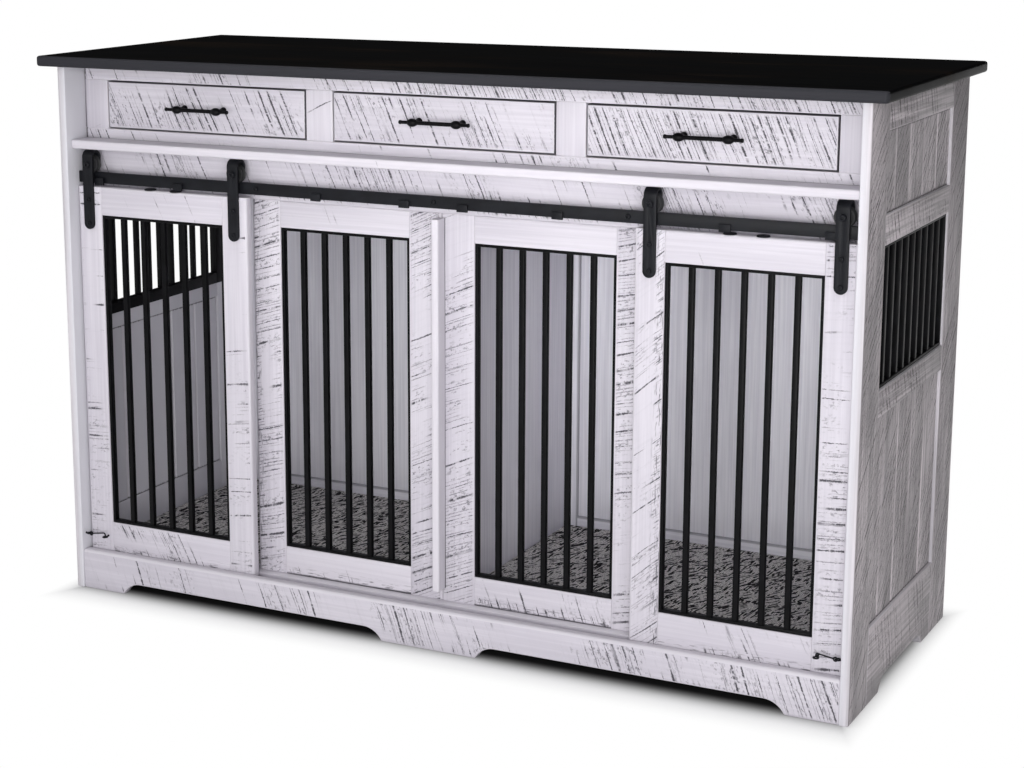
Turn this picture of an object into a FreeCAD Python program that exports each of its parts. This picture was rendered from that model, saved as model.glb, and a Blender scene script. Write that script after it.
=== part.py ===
import FreeCAD, Part
import math
import os

V = FreeCAD.Vector

# Lengths are in millimetres. X runs right along the front, Y to the back and Z up, with the
# origin on the floor below the middle of the top slab.

# Overall size and top slab
overall_width = 1575.0
overall_depth = 610.0
overall_height = 1012.0
top_thickness = 19.0
top_side_overhang = 30.0
top_front_overhang = 24.0
top_corner_radius = 7.0
top_edge_radius = 5.0

# End panels: stiles, rails, vertical boards and a barred window
end_thickness = 16.0
end_front_stile_width = 98.0
end_back_stile_width = 104.0
end_top_rail_height = 53.0
end_upper_boards_height = 131.0
end_window_head_height = 49.0
end_window_height = 231.0
end_window_sill_height = 45.0
end_bottom_rail_height = 135.0
end_front_foot_length = 167.0
end_back_foot_length = 152.0
end_board_thickness = 8.0
end_board_recess = 5.0
end_board_shares = (0.148, 0.213, 0.213, 0.213, 0.213)
board_groove_depth = 2.0

# Arches between the feet of the end panels and of the kickboard
arch_rise = 22.0
arch_shoulder_run = 36.0

# Kickboard, and the sill whose groove takes the doors' bottom edges
kick_setback = 2.0
kick_thickness = 19.0
kick_height = 76.0
kick_edge_radius = 6.0
kick_end_foot_length = 91.0
kick_middle_foot_length = 186.0
sill_thickness = 18.0
sill_groove_depth = 10.0
sill_fence_drop = 2.0

# Sliding doors
door_kick_gap = 2.0
door_thickness = 19.0
door_frame_gap = 18.0
door_stile_width = 52.0
door_top_rail_height = 52.0
door_bottom_rail_height = 61.0
door_overlap = 12.0
door_end_gap = 3.5
door_sill_gap = 4.0
door_fence_gap = 1.5
door_track_gap = 6.0
door_stop_gap = 1.0

# Steel grilles in the doors, the fixed panels and the end panels
grille_frame_width = 4.0
grille_frame_depth = 12.0
grille_setback = 2.0
grille_bar_size = 8.0
front_grille_bars = 5
end_grille_bars = 9
end_grille_flange_width = 20.0
end_grille_flange_thickness = 3.0

# Face frame: drawer openings above, header behind the track, fixed panels below
frame_thickness = 19.0
drawer_top_rail_height = 28.0
drawer_opening_height = 89.0
drawer_bottom_rail_height = 34.0
drawer_outer_stile_width = 51.0
drawer_middle_stile_width = 53.0
fixed_inner_stile_width = 63.0
fixed_window_width = 260.0
fixed_outer_stile_width = 59.0
fixed_top_rail_height = 48.0
fixed_bottom_rail_height = 52.0
stop_strip_width = 14.0
stop_strip_depth = 27.0
stop_strip_top_margin = 8.0
stop_strip_bottom_margin = 24.0
stop_strip_nose_share = 0.45

# Ledge moulding under the drawers
ledge_projection = 50.0
ledge_thickness = 16.0
ledge_corner_radius = 12.0
ledge_nose_radius = 6.0

# Track with its bolts, spacers and stop blocks
track_lift = 12.0
track_height = 21.0
track_thickness = 5.0
track_end_gap = 2.0
track_bolt_count = 5
track_bolt_margin = 31.0
track_bolt_radius = 3.0
track_bolt_head_radius = 5.0
track_bolt_head_height = 3.0
track_bolt_bite = 15.0
track_spacer_radius = 6.0
stop_block_shares = ((0.123, 0.665), (0.463, 1.0))
stop_block_bolt_gap = 1.0
stop_block_width = 20.0
stop_block_depth = 4.0
stop_block_height = 13.0
stop_block_drop = 2.8

# Hangers, wheels and their fixings
hanger_width = 22.0
hanger_thickness = 4.0
hanger_leg_drop = 79.0
hanger_crown_rise = 12.5
hanger_ledge_gap = 3.2
wheel_flange_radius = 17.0
wheel_tread_radius = 13.5
wheel_width = 12.0
wheel_groove_width = 6.0
wheel_groove_taper = 1.0
wheel_hub_radius = 6.0
wheel_side_gap = 0.5
wheel_track_gap = 0.3
axle_radius = 3.0
axle_running_gap = 0.05
axle_head_radius = 6.0
axle_head_height = 4.0
axle_nut_radius = 5.5
axle_nut_height = 5.0
hanger_screw_radius = 2.5
hanger_screw_head_radius = 4.5
hanger_screw_head_height = 2.5
hanger_screw_bite = 12.0
hanger_upper_screw_drop = 24.0
screw_hole_gap = 0.1
disc_radius = 11.0
disc_thickness = 2.6
disc_place_shares = (0.424, 0.574)

# Drawers
drawer_front_thickness = 19.0
drawer_front_proud = 1.0
drawer_reveal = 2.0
drawer_front_edge_radius = 3.0
drawer_box_side_gap = 8.0
drawer_box_lift = 8.0
drawer_box_height = 60.0
drawer_back_gap = 49.0
drawer_board_thickness = 12.0
drawer_bottom_thickness = 6.0
drawer_bottom_lift = 5.0
runner_inner_reach = 25.0
runner_outer_reach = 15.0
runner_height = 20.0
runner_gap = 0.3
guide_thickness = 10.0
guide_height = 15.0
guide_gap = 0.5

# Drawer pulls: a bar through two collared posts
pull_post_spacing = 83.0
pull_end_reach = 25.0
pull_projection = 26.0
pull_bar_radius = 3.6
pull_end_radius = 2.9
pull_collar_radius = 7.0
pull_collar_length = 14.0
pull_collar_waist_share = 0.78
pull_post_radius = 4.0
pull_foot_radius = 6.0
pull_foot_thickness = 2.5

# Kennel inside: floor, ceiling, divider, back and mats
deck_thickness = 18.0
cleat_height = 28.0
cleat_width = 20.0
ceiling_thickness = 12.0
ceiling_drop = 18.0
divider_thickness = 18.0
back_thickness = 19.0
back_stile_width = 70.0
back_top_rail_height = 150.0
back_bottom_rail_height = 68.0
back_panel_thickness = 8.0
mat_thickness = 6.0
mat_margin = 4.0

# Hook-and-eye latches at the doors' lower outer corners
latch_setback = 12.0
latch_height = 106.0
latch_wire_radius = 1.3
latch_eye_radius = 4.2
latch_eye_neck = 2.5
latch_loop_gap = 0.5
latch_arm_length = 32.0
latch_tip_drop = 6.0
latch_eye_gap = 0.3
latch_rest_angle = 9.0

# The largest difference that counts as the same place, and a whole turn in degrees
rounding = 0.01
full_turn = 360.0

# Places worked out from the sizes above
top_underside_z = overall_height - top_thickness
end_outer_x = overall_width / 2 - top_side_overhang
end_inner_x = end_outer_x - end_thickness
back_y = overall_depth / 2
front_y = top_front_overhang - overall_depth / 2
end_board_outer_x = end_outer_x - end_board_recess
end_board_front_y = front_y + end_front_stile_width
end_board_back_y = back_y - end_back_stile_width
end_upper_top_z = top_underside_z - end_top_rail_height
end_head_top_z = end_upper_top_z - end_upper_boards_height
end_window_top_z = end_head_top_z - end_window_head_height
end_window_bottom_z = end_window_top_z - end_window_height
end_lower_top_z = end_window_bottom_z - end_window_sill_height

kick_front_y = front_y + kick_setback
kick_back_y = kick_front_y + kick_thickness
door_front_y = kick_back_y + door_kick_gap
door_back_y = door_front_y + door_thickness
door_middle_y = (door_front_y + door_back_y) / 2
frame_front_y = door_back_y + door_frame_gap
frame_back_y = frame_front_y + frame_thickness
back_frame_y = back_y - back_thickness

drawer_opening_top_z = top_underside_z - drawer_top_rail_height
drawer_opening_bottom_z = drawer_opening_top_z - drawer_opening_height
header_top_z = drawer_opening_bottom_z - drawer_bottom_rail_height
hanger_outer_radius = door_thickness / 2 + hanger_thickness
hanger_stack = wheel_track_gap + wheel_tread_radius + hanger_crown_rise + hanger_outer_radius
track_top_z = header_top_z - hanger_ledge_gap - hanger_stack
track_bottom_z = track_top_z - track_height
track_middle_z = (track_top_z + track_bottom_z) / 2
header_bottom_z = track_bottom_z - track_lift
wheel_z = track_top_z + wheel_track_gap + wheel_tread_radius
crown_z = wheel_z + hanger_crown_rise

sill_z = kick_height - sill_groove_depth
fence_top_z = kick_height - sill_fence_drop
deck_bottom_z = fence_top_z - deck_thickness
door_bottom_z = sill_z + door_sill_gap
door_top_z = track_bottom_z - door_track_gap
hanger_bottom_z = door_top_z - hanger_leg_drop
fixed_window_x = fixed_inner_stile_width + fixed_window_width
fixed_outer_x = fixed_window_x + fixed_outer_stile_width
door_inner_x = fixed_outer_x - door_overlap
door_outer_x = end_inner_x - door_end_gap
hanger_xs = (door_inner_x + door_stile_width / 2, door_outer_x - door_stile_width / 2)
track_half_length = end_inner_x - track_end_gap
track_front_y = door_middle_y - track_thickness / 2
track_back_y = door_middle_y + track_thickness / 2
door_travel = door_inner_x - stop_strip_width / 2 - door_stop_gap

stiles_total = 2 * drawer_outer_stile_width + 2 * drawer_middle_stile_width
drawer_opening_width = (2 * end_inner_x - stiles_total) / 3
drawer_pitch = drawer_opening_width + drawer_middle_stile_width
drawer_front_y = frame_front_y - drawer_front_proud
drawer_front_back_y = drawer_front_y + drawer_front_thickness
drawer_box_half_width = drawer_opening_width / 2 - drawer_box_side_gap
drawer_box_back_y = back_frame_y - drawer_back_gap
drawer_box_bottom_z = drawer_opening_bottom_z + drawer_box_lift
drawer_middle_z = (drawer_opening_bottom_z + drawer_opening_top_z) / 2
runner_top_z = drawer_box_bottom_z - runner_gap
ceiling_top_z = drawer_opening_bottom_z - ceiling_drop
ceiling_bottom_z = ceiling_top_z - ceiling_thickness

latch_y = front_y + latch_setback
latch_eye_x = end_inner_x - latch_eye_neck - latch_wire_radius - latch_eye_radius
latch_pivot_x = latch_eye_x - latch_eye_radius
latch_loop_radius = 2 * latch_wire_radius + latch_loop_gap
latch_keeper_x = latch_pivot_x - latch_arm_length
latch_keeper_z = latch_height - 2 * latch_wire_radius - latch_eye_gap

X_AXIS = V(1, 0, 0)
Y_AXIS = V(0, 1, 0)
Z_AXIS = V(0, 0, 1)


def board(x0, x1, y0, y1, z0, z1):
    """A square-edged board between two opposite corners."""
    return Part.makeBox(x1 - x0, y1 - y0, z1 - z0, V(x0, y0, z0))


def rod(start, end, radius):
    """A round rod from one point to another."""
    along = end - start
    return Part.makeCylinder(radius, along.Length, start, along)


def sleeve(start, end, radius, bore_radius):
    """A round tube from one point to another."""
    return rod(start, end, radius).cut(rod(start, end, bore_radius))


def joined(solids):
    """One solid out of several that meet."""
    return solids[0].multiFuse(solids[1:]).removeSplitter().Solids[0]


def mirrored(solids):
    """The same pieces on the other side of the middle."""
    return [solid.mirror(V(0, 0, 0), X_AXIS) for solid in solids]


def edges_where(shape, test):
    """The edges whose middle point passes a test."""
    return [edge for edge in shape.Edges if test(edge.CenterOfMass)]


def near(a, b):
    """Whether two places are the same but for rounding."""
    return math.isclose(a, b, abs_tol=rounding)


def save(node, solids):
    """Write a node's solids to its own file."""
    shape = solids[0] if len(solids) == 1 else Part.makeCompound(solids)
    shape.exportStep(f"parts/{node}.step")


def save_pair(name, right_solids):
    """Write a right-hand node and its left-hand mirror image."""
    save(f"right_{name}", right_solids)
    save(f"left_{name}", mirrored(right_solids))


def shoulder(place, foot, run):
    """The arc from a foot's bottom corner up to the arch line, level where it gets there."""
    radius = (run ** 2 + arch_rise ** 2) / (2 * arch_rise)
    middle_angle = (math.atan2(radius - arch_rise, -run) + math.pi / 2) / 2
    middle = place(foot + run + radius * math.cos(middle_angle),
                   arch_rise - radius + radius * math.sin(middle_angle))
    return Part.Arc(place(foot, 0), middle, place(foot + run, arch_rise)).toShape()


def arched_board(place, feet, top, thickness):
    """An upright board on feet, with an arch between each two, drawn on its face and thickened."""
    edges = []
    for index, (start, end) in enumerate(feet):
        edges.append(Part.makeLine(place(start, 0), place(end, 0)))
        if index + 1 < len(feet):
            following = feet[index + 1][0]
            edges.append(shoulder(place, end, arch_shoulder_run))
            edges.append(Part.makeLine(place(end + arch_shoulder_run, arch_rise),
                                       place(following - arch_shoulder_run, arch_rise)))
            edges.append(shoulder(place, following, -arch_shoulder_run))
    first = feet[0][0]
    last = feet[-1][1]
    edges.append(Part.makeLine(place(last, 0), place(last, top)))
    edges.append(Part.makeLine(place(last, top), place(first, top)))
    edges.append(Part.makeLine(place(first, top), place(first, 0)))
    outline = Part.Wire(Part.__sortEdges__(edges))
    return Part.Face(outline).extrude(thickness)


def grooved_board(x0, x1, y0, y1, z0, z1):
    """An upright board that lies along Y, its long edges bevelled so that neighbours meet in a V."""
    groove = board_groove_depth
    corners = [(x0, y0 + groove), (x0 + groove, y0), (x1 - groove, y0), (x1, y0 + groove),
               (x1, y1 - groove), (x1 - groove, y1), (x0 + groove, y1), (x0, y1 - groove)]
    points = [V(x, y, z0) for x, y in corners]
    outline = Part.makePolygon(points + points[:1])
    return Part.Face(outline).extrude(V(0, 0, z1 - z0))


def grooved_boards(x0, x1, y0, y1, z0, z1, shares):
    """A row of grooved boards that fills a space along Y."""
    boards = []
    start = y0
    for share in shares:
        end = start + share * (y1 - y0) / sum(shares)
        boards.append(grooved_board(x0, x1, start, end, z0, z1))
        start = end
    return boards


def grille(place, width, height, bars):
    """A welded grille: a flat-bar frame with square bars. place(u0, u1, v0, v1, depth) gives a bar."""
    rim = grille_frame_width
    members = border(lambda *span: place(*span, grille_frame_depth), 0, width, 0, height, rim)
    pitch = width / (bars + 1)
    for index in range(bars):
        middle = pitch * (index + 1)
        members.append(place(middle - grille_bar_size / 2, middle + grille_bar_size / 2,
                             rim, height - rim, grille_bar_size))
    return members


def border(place, u0, u1, v0, v1, width):
    """Four bars of one width that go round the inside of a rectangle."""
    return [place(u0, u0 + width, v0, v1), place(u1 - width, u1, v0, v1),
            place(u0 + width, u1 - width, v0, v0 + width), place(u0 + width, u1 - width, v1 - width, v1)]


def front_grille(x0, x1, z0, z1, face_y):
    """A grille in a window that faces the front, set back from the face round it."""
    middle_y = face_y + grille_setback + grille_frame_depth / 2

    def place(u0, u1, v0, v1, depth):
        return board(x0 + u0, x0 + u1, middle_y - depth / 2, middle_y + depth / 2, z0 + v0, z0 + v1)
    return joined(grille(place, x1 - x0, z1 - z0, front_grille_bars))


def end_grille():
    """The grille in the right end panel's window, with a flange against the panel's inner face."""
    middle_x = end_inner_x + grille_frame_depth / 2
    width = end_board_back_y - end_board_front_y
    spread = end_grille_flange_width - grille_frame_width

    def place(u0, u1, v0, v1, depth):
        return board(middle_x - depth / 2, middle_x + depth / 2, end_board_front_y + u0,
                     end_board_front_y + u1, end_window_bottom_z + v0, end_window_bottom_z + v1)

    def flange(u0, u1, v0, v1):
        return board(end_inner_x - end_grille_flange_thickness, end_inner_x, end_board_front_y + u0,
                     end_board_front_y + u1, end_window_bottom_z + v0, end_window_bottom_z + v1)
    members = grille(place, width, end_window_height, end_grille_bars)
    return joined(members + border(flange, -spread, width + spread, -spread, end_window_height + spread,
                                   end_grille_flange_width))


def top_slab():
    """The top, rounded at its corners and along its edges."""
    half = overall_width / 2
    slab = board(-half, half, -overall_depth / 2, back_y, top_underside_z, overall_height)
    upright = edges_where(slab, lambda p: near(p.z, overall_height - top_thickness / 2))
    slab = slab.makeFillet(top_corner_radius, upright)
    around = edges_where(slab, lambda p: near(p.z, overall_height) or near(p.z, top_underside_z))
    return slab.makeFillet(top_edge_radius, around)


def end_frame():
    """The right end panel's two stiles and three upper rails."""
    inner, outer = end_inner_x, end_outer_x
    stiles = [board(inner, outer, front_y, end_board_front_y, 0, top_underside_z),
              board(inner, outer, end_board_back_y, back_y, 0, top_underside_z)]
    spans = [(end_upper_top_z, top_underside_z), (end_window_top_z, end_head_top_z),
             (end_lower_top_z, end_window_bottom_z)]
    return stiles + [board(inner, outer, end_board_front_y, end_board_back_y, low, high)
                     for low, high in spans]


def end_bottom_rail():
    """The right end panel's bottom rail, arched between the feet."""
    feet = [(end_board_front_y, front_y + end_front_foot_length),
            (back_y - end_back_foot_length, end_board_back_y)]
    return arched_board(lambda s, z: V(end_inner_x, s, z), feet, end_bottom_rail_height,
                        V(end_thickness, 0, 0))


def end_boards():
    """The grooved boards above and below the right end panel's window."""
    inner = end_board_outer_x - end_board_thickness
    boards = []
    for low, high in ((end_head_top_z, end_upper_top_z), (end_bottom_rail_height, end_lower_top_z)):
        boards += grooved_boards(inner, end_board_outer_x, end_board_front_y, end_board_back_y,
                                 low, high, end_board_shares)
    return boards


def kickboard():
    """The front kickboard on three feet, its upper front edge rounded."""
    middle_foot = kick_middle_foot_length / 2
    feet = [(-end_inner_x, kick_end_foot_length - end_inner_x), (-middle_foot, middle_foot),
            (end_inner_x - kick_end_foot_length, end_inner_x)]
    blank = arched_board(lambda s, z: V(s, kick_front_y, z), feet, kick_height, V(0, kick_thickness, 0))
    edge = edges_where(blank, lambda p: near(p.z, kick_height) and near(p.y, kick_front_y))
    return blank.makeFillet(kick_edge_radius, edge)


def door_sill():
    """The sill board that floors the doors' groove, and the fence behind the groove."""
    fence_y = door_back_y + door_fence_gap
    return [board(-end_inner_x, end_inner_x, kick_back_y, frame_back_y, sill_z - sill_thickness, sill_z),
            board(-end_inner_x, end_inner_x, fence_y, frame_back_y, sill_z, fence_top_z)]


def track_bolt_places():
    """The track bolts' places along X, evenly spaced."""
    reach = track_half_length - track_bolt_margin
    return [reach * (2 * index / (track_bolt_count - 1) - 1) for index in range(track_bolt_count)]


def drilled(shape, places, y0, y1, z, radius):
    """A board with a row of holes through it along Y."""
    for x in places:
        shape = shape.cut(rod(V(x, y0, z), V(x, y1, z), radius))
    return shape


def header_board():
    """The board behind the track, drilled for the track bolts."""
    header = board(-end_inner_x, end_inner_x, frame_front_y, frame_back_y, header_bottom_z, header_top_z)
    return drilled(header, track_bolt_places(), frame_front_y, frame_front_y + track_bolt_bite,
                   track_middle_z, track_bolt_radius + screw_hole_gap)


def drawer_face_frame():
    """The rails and stiles round the three drawer openings."""
    rails = [board(-end_inner_x, end_inner_x, frame_front_y, frame_back_y, low, high)
             for low, high in ((drawer_opening_top_z, top_underside_z),
                               (header_top_z, drawer_opening_bottom_z))]
    half = drawer_opening_width / 2
    spans = [(-end_inner_x, -drawer_pitch - half), (half - drawer_pitch, -half),
             (half, drawer_pitch - half), (drawer_pitch + half, end_inner_x)]
    return rails + [board(low, high, frame_front_y, frame_back_y, drawer_opening_bottom_z,
                          drawer_opening_top_z) for low, high in spans]


def ledge():
    """The ledge under the drawers, with round corners and a bull nose."""
    front = frame_front_y - ledge_projection
    top = header_top_z + ledge_thickness
    blank = board(-end_inner_x, end_inner_x, front, frame_front_y, header_top_z, top)
    corners = edges_where(blank, lambda p: near(p.y, front) and near(p.z, (header_top_z + top) / 2))
    blank = blank.makeFillet(ledge_corner_radius, corners)
    nose = edges_where(blank, lambda p: not near(p.y, frame_front_y)
                       and (near(p.z, top) or near(p.z, header_top_z)))
    return blank.makeFillet(ledge_nose_radius, nose)


def fixed_frame():
    """The right fixed panel's two stiles and two rails."""
    y0, y1 = frame_front_y, frame_back_y
    stiles = [board(0, fixed_inner_stile_width, y0, y1, fence_top_z, header_bottom_z),
              board(fixed_window_x, fixed_outer_x, y0, y1, fence_top_z, header_bottom_z)]
    spans = [(header_bottom_z - fixed_top_rail_height, header_bottom_z),
             (fence_top_z, fence_top_z + fixed_bottom_rail_height)]
    return stiles + [board(fixed_inner_stile_width, fixed_window_x, y0, y1, low, high)
                     for low, high in spans]


def stop_strip():
    """The round-nosed strip in the middle that both doors stop against."""
    half = stop_strip_width / 2
    front = frame_front_y - stop_strip_depth
    strip = board(-half, half, front, frame_front_y, fence_top_z + stop_strip_bottom_margin,
                  header_bottom_z - stop_strip_top_margin)
    middle_z = strip.CenterOfMass.z
    nose = edges_where(strip, lambda p: near(p.y, front) and near(p.z, middle_z))
    return strip.makeFillet(stop_strip_nose_share * stop_strip_width, nose)


def track_rail():
    """The flat bar that the wheels run on, drilled for its bolts."""
    bar = board(-track_half_length, track_half_length, track_front_y, track_back_y,
                track_bottom_z, track_top_z)
    return drilled(bar, track_bolt_places(), track_front_y, track_back_y, track_middle_z,
                   track_bolt_radius + screw_hole_gap)


def track_standoffs():
    """The track's bolts, and the tubes that hold it off the header."""
    solids = []
    for x in track_bolt_places():
        head = V(x, track_front_y - track_bolt_head_height, track_middle_z)
        face = V(x, track_front_y, track_middle_z)
        tip = V(x, frame_front_y + track_bolt_bite, track_middle_z)
        solids.append(joined([rod(head, face, track_bolt_head_radius), rod(face, tip, track_bolt_radius)]))
        solids.append(sleeve(V(x, track_back_y, track_middle_z), V(x, frame_front_y, track_middle_z),
                             track_spacer_radius, track_bolt_radius + screw_hole_gap))
    return solids


def track_stop_blocks():
    """The small blocks on the lower half of the track's face, spread between the bolts."""
    bolts = track_bolt_places()[track_bolt_count // 2:]
    half = stop_block_width / 2
    margin = track_bolt_head_radius + stop_block_bolt_gap + half
    low = track_bottom_z - stop_block_drop
    right = []
    for start, end, shares in zip(bolts, bolts[1:], stop_block_shares):
        for share in shares:
            x = start + margin + share * (end - start - 2 * margin)
            right.append(board(x - half, x + half, track_front_y - stop_block_depth, track_front_y,
                               low, low + stop_block_height))
    return right + mirrored(right)


def screw_heights():
    """The heights of the two screws in a hanger's front leg."""
    return (door_top_z - hanger_upper_screw_drop, hanger_bottom_z + hanger_width / 2)


def door_frame():
    """The right door's stiles, drilled for the hanger screws, and its rails."""
    y0, y1 = door_front_y, door_back_y
    spans = [(door_inner_x, door_inner_x + door_stile_width),
             (door_outer_x - door_stile_width, door_outer_x)]
    solids = []
    for (low, high), x in zip(spans, hanger_xs):
        stile = board(low, high, y0, y1, door_bottom_z, door_top_z)
        for z in screw_heights():
            stile = drilled(stile, [x], y0, y0 + hanger_screw_bite, z, hanger_screw_radius + screw_hole_gap)
        solids.append(stile)
    for low, high in ((door_top_z - door_top_rail_height, door_top_z),
                      (door_bottom_z, door_bottom_z + door_bottom_rail_height)):
        solids.append(board(spans[0][1], spans[1][0], y0, y1, low, high))
    return solids


def hanger(x):
    """A flat strap: a long leg on the door's face, a bend over the wheel and a short leg behind it."""
    half = hanger_width / 2
    inner_radius = hanger_outer_radius - hanger_thickness
    crown_low = V(x - half, door_middle_y, crown_z)
    crown = Part.makeCylinder(hanger_outer_radius, hanger_width, crown_low, X_AXIS)
    crown = crown.cut(Part.makeCylinder(inner_radius, hanger_width, crown_low, X_AXIS))
    below = board(x - half, x + half, door_middle_y - hanger_outer_radius,
                  door_middle_y + hanger_outer_radius, crown_z - hanger_outer_radius, crown_z)
    crown = crown.cut(below)
    front = door_middle_y - hanger_outer_radius
    rear = door_middle_y + inner_radius
    solids = [crown]
    for y, low in ((front, hanger_bottom_z + half), (rear, wheel_z)):
        solids.append(board(x - half, x + half, y, y + hanger_thickness, low, crown_z))
        solids.append(rod(V(x, y, low), V(x, y + hanger_thickness, low), half))
    strap = joined(solids)
    for z in screw_heights():
        strap = drilled(strap, [x], front, door_front_y, z, hanger_screw_radius + screw_hole_gap)
    return drilled(strap, [x], front, rear + hanger_thickness, wheel_z, axle_radius + screw_hole_gap)


def hanger_bolts(x):
    """A hanger's axle bolt with its nut, and its two screws."""
    front = door_middle_y - hanger_outer_radius
    rear = door_middle_y + hanger_outer_radius
    axle = joined([rod(V(x, front - axle_head_height, wheel_z), V(x, front, wheel_z), axle_head_radius),
                   rod(V(x, front, wheel_z), V(x, rear, wheel_z), axle_radius),
                   rod(V(x, rear, wheel_z), V(x, rear + axle_nut_height, wheel_z), axle_nut_radius)])
    solids = [axle]
    for z in screw_heights():
        head = V(x, front - hanger_screw_head_height, z)
        solids.append(joined([rod(head, V(x, front, z), hanger_screw_head_radius),
                              rod(V(x, front, z), V(x, door_front_y + hanger_screw_bite, z),
                                  hanger_screw_radius)]))
    return solids


def wheel(x):
    """A grooved wheel that runs on the track's top edge, with a hub between the hanger's legs."""
    hub = door_thickness / 2 - wheel_side_gap
    side = wheel_width / 2
    groove = wheel_groove_width / 2
    bore = axle_radius + axle_running_gap
    rim = groove + wheel_groove_taper
    profile = [(-hub, bore), (-hub, wheel_hub_radius), (-side, wheel_hub_radius),
               (-side, wheel_flange_radius), (-rim, wheel_flange_radius), (-groove, wheel_tread_radius),
               (groove, wheel_tread_radius), (rim, wheel_flange_radius), (side, wheel_flange_radius),
               (side, wheel_hub_radius), (hub, wheel_hub_radius), (hub, bore)]
    points = [V(x, door_middle_y + along, wheel_z + out) for along, out in profile]
    outline = Part.makePolygon(points + points[:1])
    return Part.Face(outline).revolve(V(x, 0, wheel_z), Y_AXIS, full_turn)


def anti_jump_discs():
    """The flat discs on the right door's top edge, just under the track."""
    width = door_outer_x - door_inner_x
    places = [door_outer_x - share * width for share in disc_place_shares]
    return [Part.makeCylinder(disc_radius, disc_thickness, V(x, door_middle_y, door_top_z)) for x in places]


def drawer_front(x):
    """A drawer's inset front, its face edges rounded."""
    half = drawer_opening_width / 2 - drawer_reveal
    front = board(x - half, x + half, drawer_front_y, drawer_front_back_y,
                  drawer_opening_bottom_z + drawer_reveal, drawer_opening_top_z - drawer_reveal)
    around = edges_where(front, lambda p: near(p.y, drawer_front_y))
    return front.makeFillet(drawer_front_edge_radius, around)


def drawer_box(x):
    """A drawer's two sides, back and bottom."""
    half = drawer_box_half_width
    wall = drawer_board_thickness
    y0 = drawer_front_back_y
    y1 = drawer_box_back_y
    z0 = drawer_box_bottom_z
    z1 = z0 + drawer_box_height
    low = z0 + drawer_bottom_lift
    clear = half - wall
    return [board(x - half, x - clear, y0, y1, z0, z1),
            board(x + clear, x + half, y0, y1, z0, z1),
            board(x - clear, x + clear, y1 - wall, y1, z0, z1),
            board(x - clear, x + clear, y0, y1 - wall, low, low + drawer_bottom_thickness)]


def collar(x, y, z):
    """A barrel-shaped collar along X, waisted at both ends."""
    end_radius = pull_collar_waist_share * pull_collar_radius
    half = pull_collar_length / 2
    low = Part.makeCone(end_radius, pull_collar_radius, half, V(x - half, y, z), X_AXIS)
    high = Part.makeCone(pull_collar_radius, end_radius, half, V(x, y, z), X_AXIS)
    return low.fuse(high)


def drawer_pull(x):
    """A drawer's bar pull: thin ends, a bar between two collars, and a post and foot behind each."""
    z = drawer_middle_z
    y = drawer_front_y - pull_projection
    half = pull_post_spacing / 2
    reach = half + pull_end_reach
    solids = [rod(V(x - reach, y, z), V(x + reach, y, z), pull_end_radius),
              rod(V(x - half, y, z), V(x + half, y, z), pull_bar_radius)]
    for post_x in (x - half, x + half):
        solids.append(collar(post_x, y, z))
        solids.append(rod(V(post_x, y, z), V(post_x, drawer_front_y, z), pull_post_radius))
        solids.append(rod(V(post_x, drawer_front_y - pull_foot_thickness, z), V(post_x, drawer_front_y, z),
                          pull_foot_radius))
    return joined(solids)


def drawer_runners():
    """Under both sides of each drawer, a runner from face frame to back, with a side guide on it."""
    solids = []
    for x in (-drawer_pitch, 0, drawer_pitch):
        for side in (-1, 1):
            edge = x + side * drawer_box_half_width
            spans = [((edge - side * runner_inner_reach, edge + side * runner_outer_reach),
                      runner_top_z - runner_height, runner_top_z),
                     ((edge + side * guide_gap, edge + side * (guide_gap + guide_thickness)),
                      runner_top_z, runner_top_z + guide_height)]
            for across, low, high in spans:
                solids.append(board(min(across), max(across), frame_back_y, back_frame_y, low, high))
    return solids


def floor_cleats():
    """The strips that carry the floor: one along each end, one at the back, one in the middle."""
    low = deck_bottom_z - cleat_height
    half = cleat_width / 2
    clear_y = back_frame_y - cleat_width
    clear_x = end_inner_x - cleat_width
    spans = [(-end_inner_x, -clear_x), (-half, half), (clear_x, end_inner_x)]
    along_y = [board(x0, x1, frame_back_y, clear_y, low, deck_bottom_z) for x0, x1 in spans]
    return along_y + [board(-end_inner_x, end_inner_x, clear_y, back_frame_y, low, deck_bottom_z)]


def back_frame():
    """The back wall's three stiles and two rails in each bay."""
    low_rail = deck_bottom_z - cleat_height
    half = back_stile_width / 2
    stiles = [(-end_inner_x, back_stile_width - end_inner_x), (-half, half),
              (end_inner_x - back_stile_width, end_inner_x)]
    rails = [(low_rail, low_rail + back_bottom_rail_height),
             (top_underside_z - back_top_rail_height, top_underside_z)]
    solids = [board(x0, x1, back_frame_y, back_y, 0, top_underside_z) for x0, x1 in stiles]
    for (_, x0), (x1, _) in zip(stiles, stiles[1:]):
        solids += [board(x0, x1, back_frame_y, back_y, low, high) for low, high in rails]
    return solids


def back_panels():
    """A flat panel in each of the back wall's two bays."""
    low = deck_bottom_z - cleat_height + back_bottom_rail_height
    high = top_underside_z - back_top_rail_height
    middle = (back_frame_y + back_y) / 2
    half = back_panel_thickness / 2
    right = board(back_stile_width / 2, end_inner_x - back_stile_width, middle - half, middle + half,
                  low, high)
    return [right] + mirrored([right])


def floor_mat():
    """The right bay's mat, on the floor between divider and end panel."""
    return board(divider_thickness / 2 + mat_margin, end_inner_x - mat_margin, frame_back_y + mat_margin,
                 back_frame_y - mat_margin, fence_top_z, fence_top_z + mat_thickness)


def pivot_eye():
    """The right hook's screw eye in the end panel, its ring level."""
    centre = V(latch_eye_x, latch_y, latch_height)
    ring = Part.makeTorus(latch_eye_radius, latch_wire_radius, centre, Z_AXIS)
    neck = rod(centre + V(latch_eye_radius, 0, 0), V(end_inner_x, latch_y, latch_height), latch_wire_radius)
    return joined([ring, neck])


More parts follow.
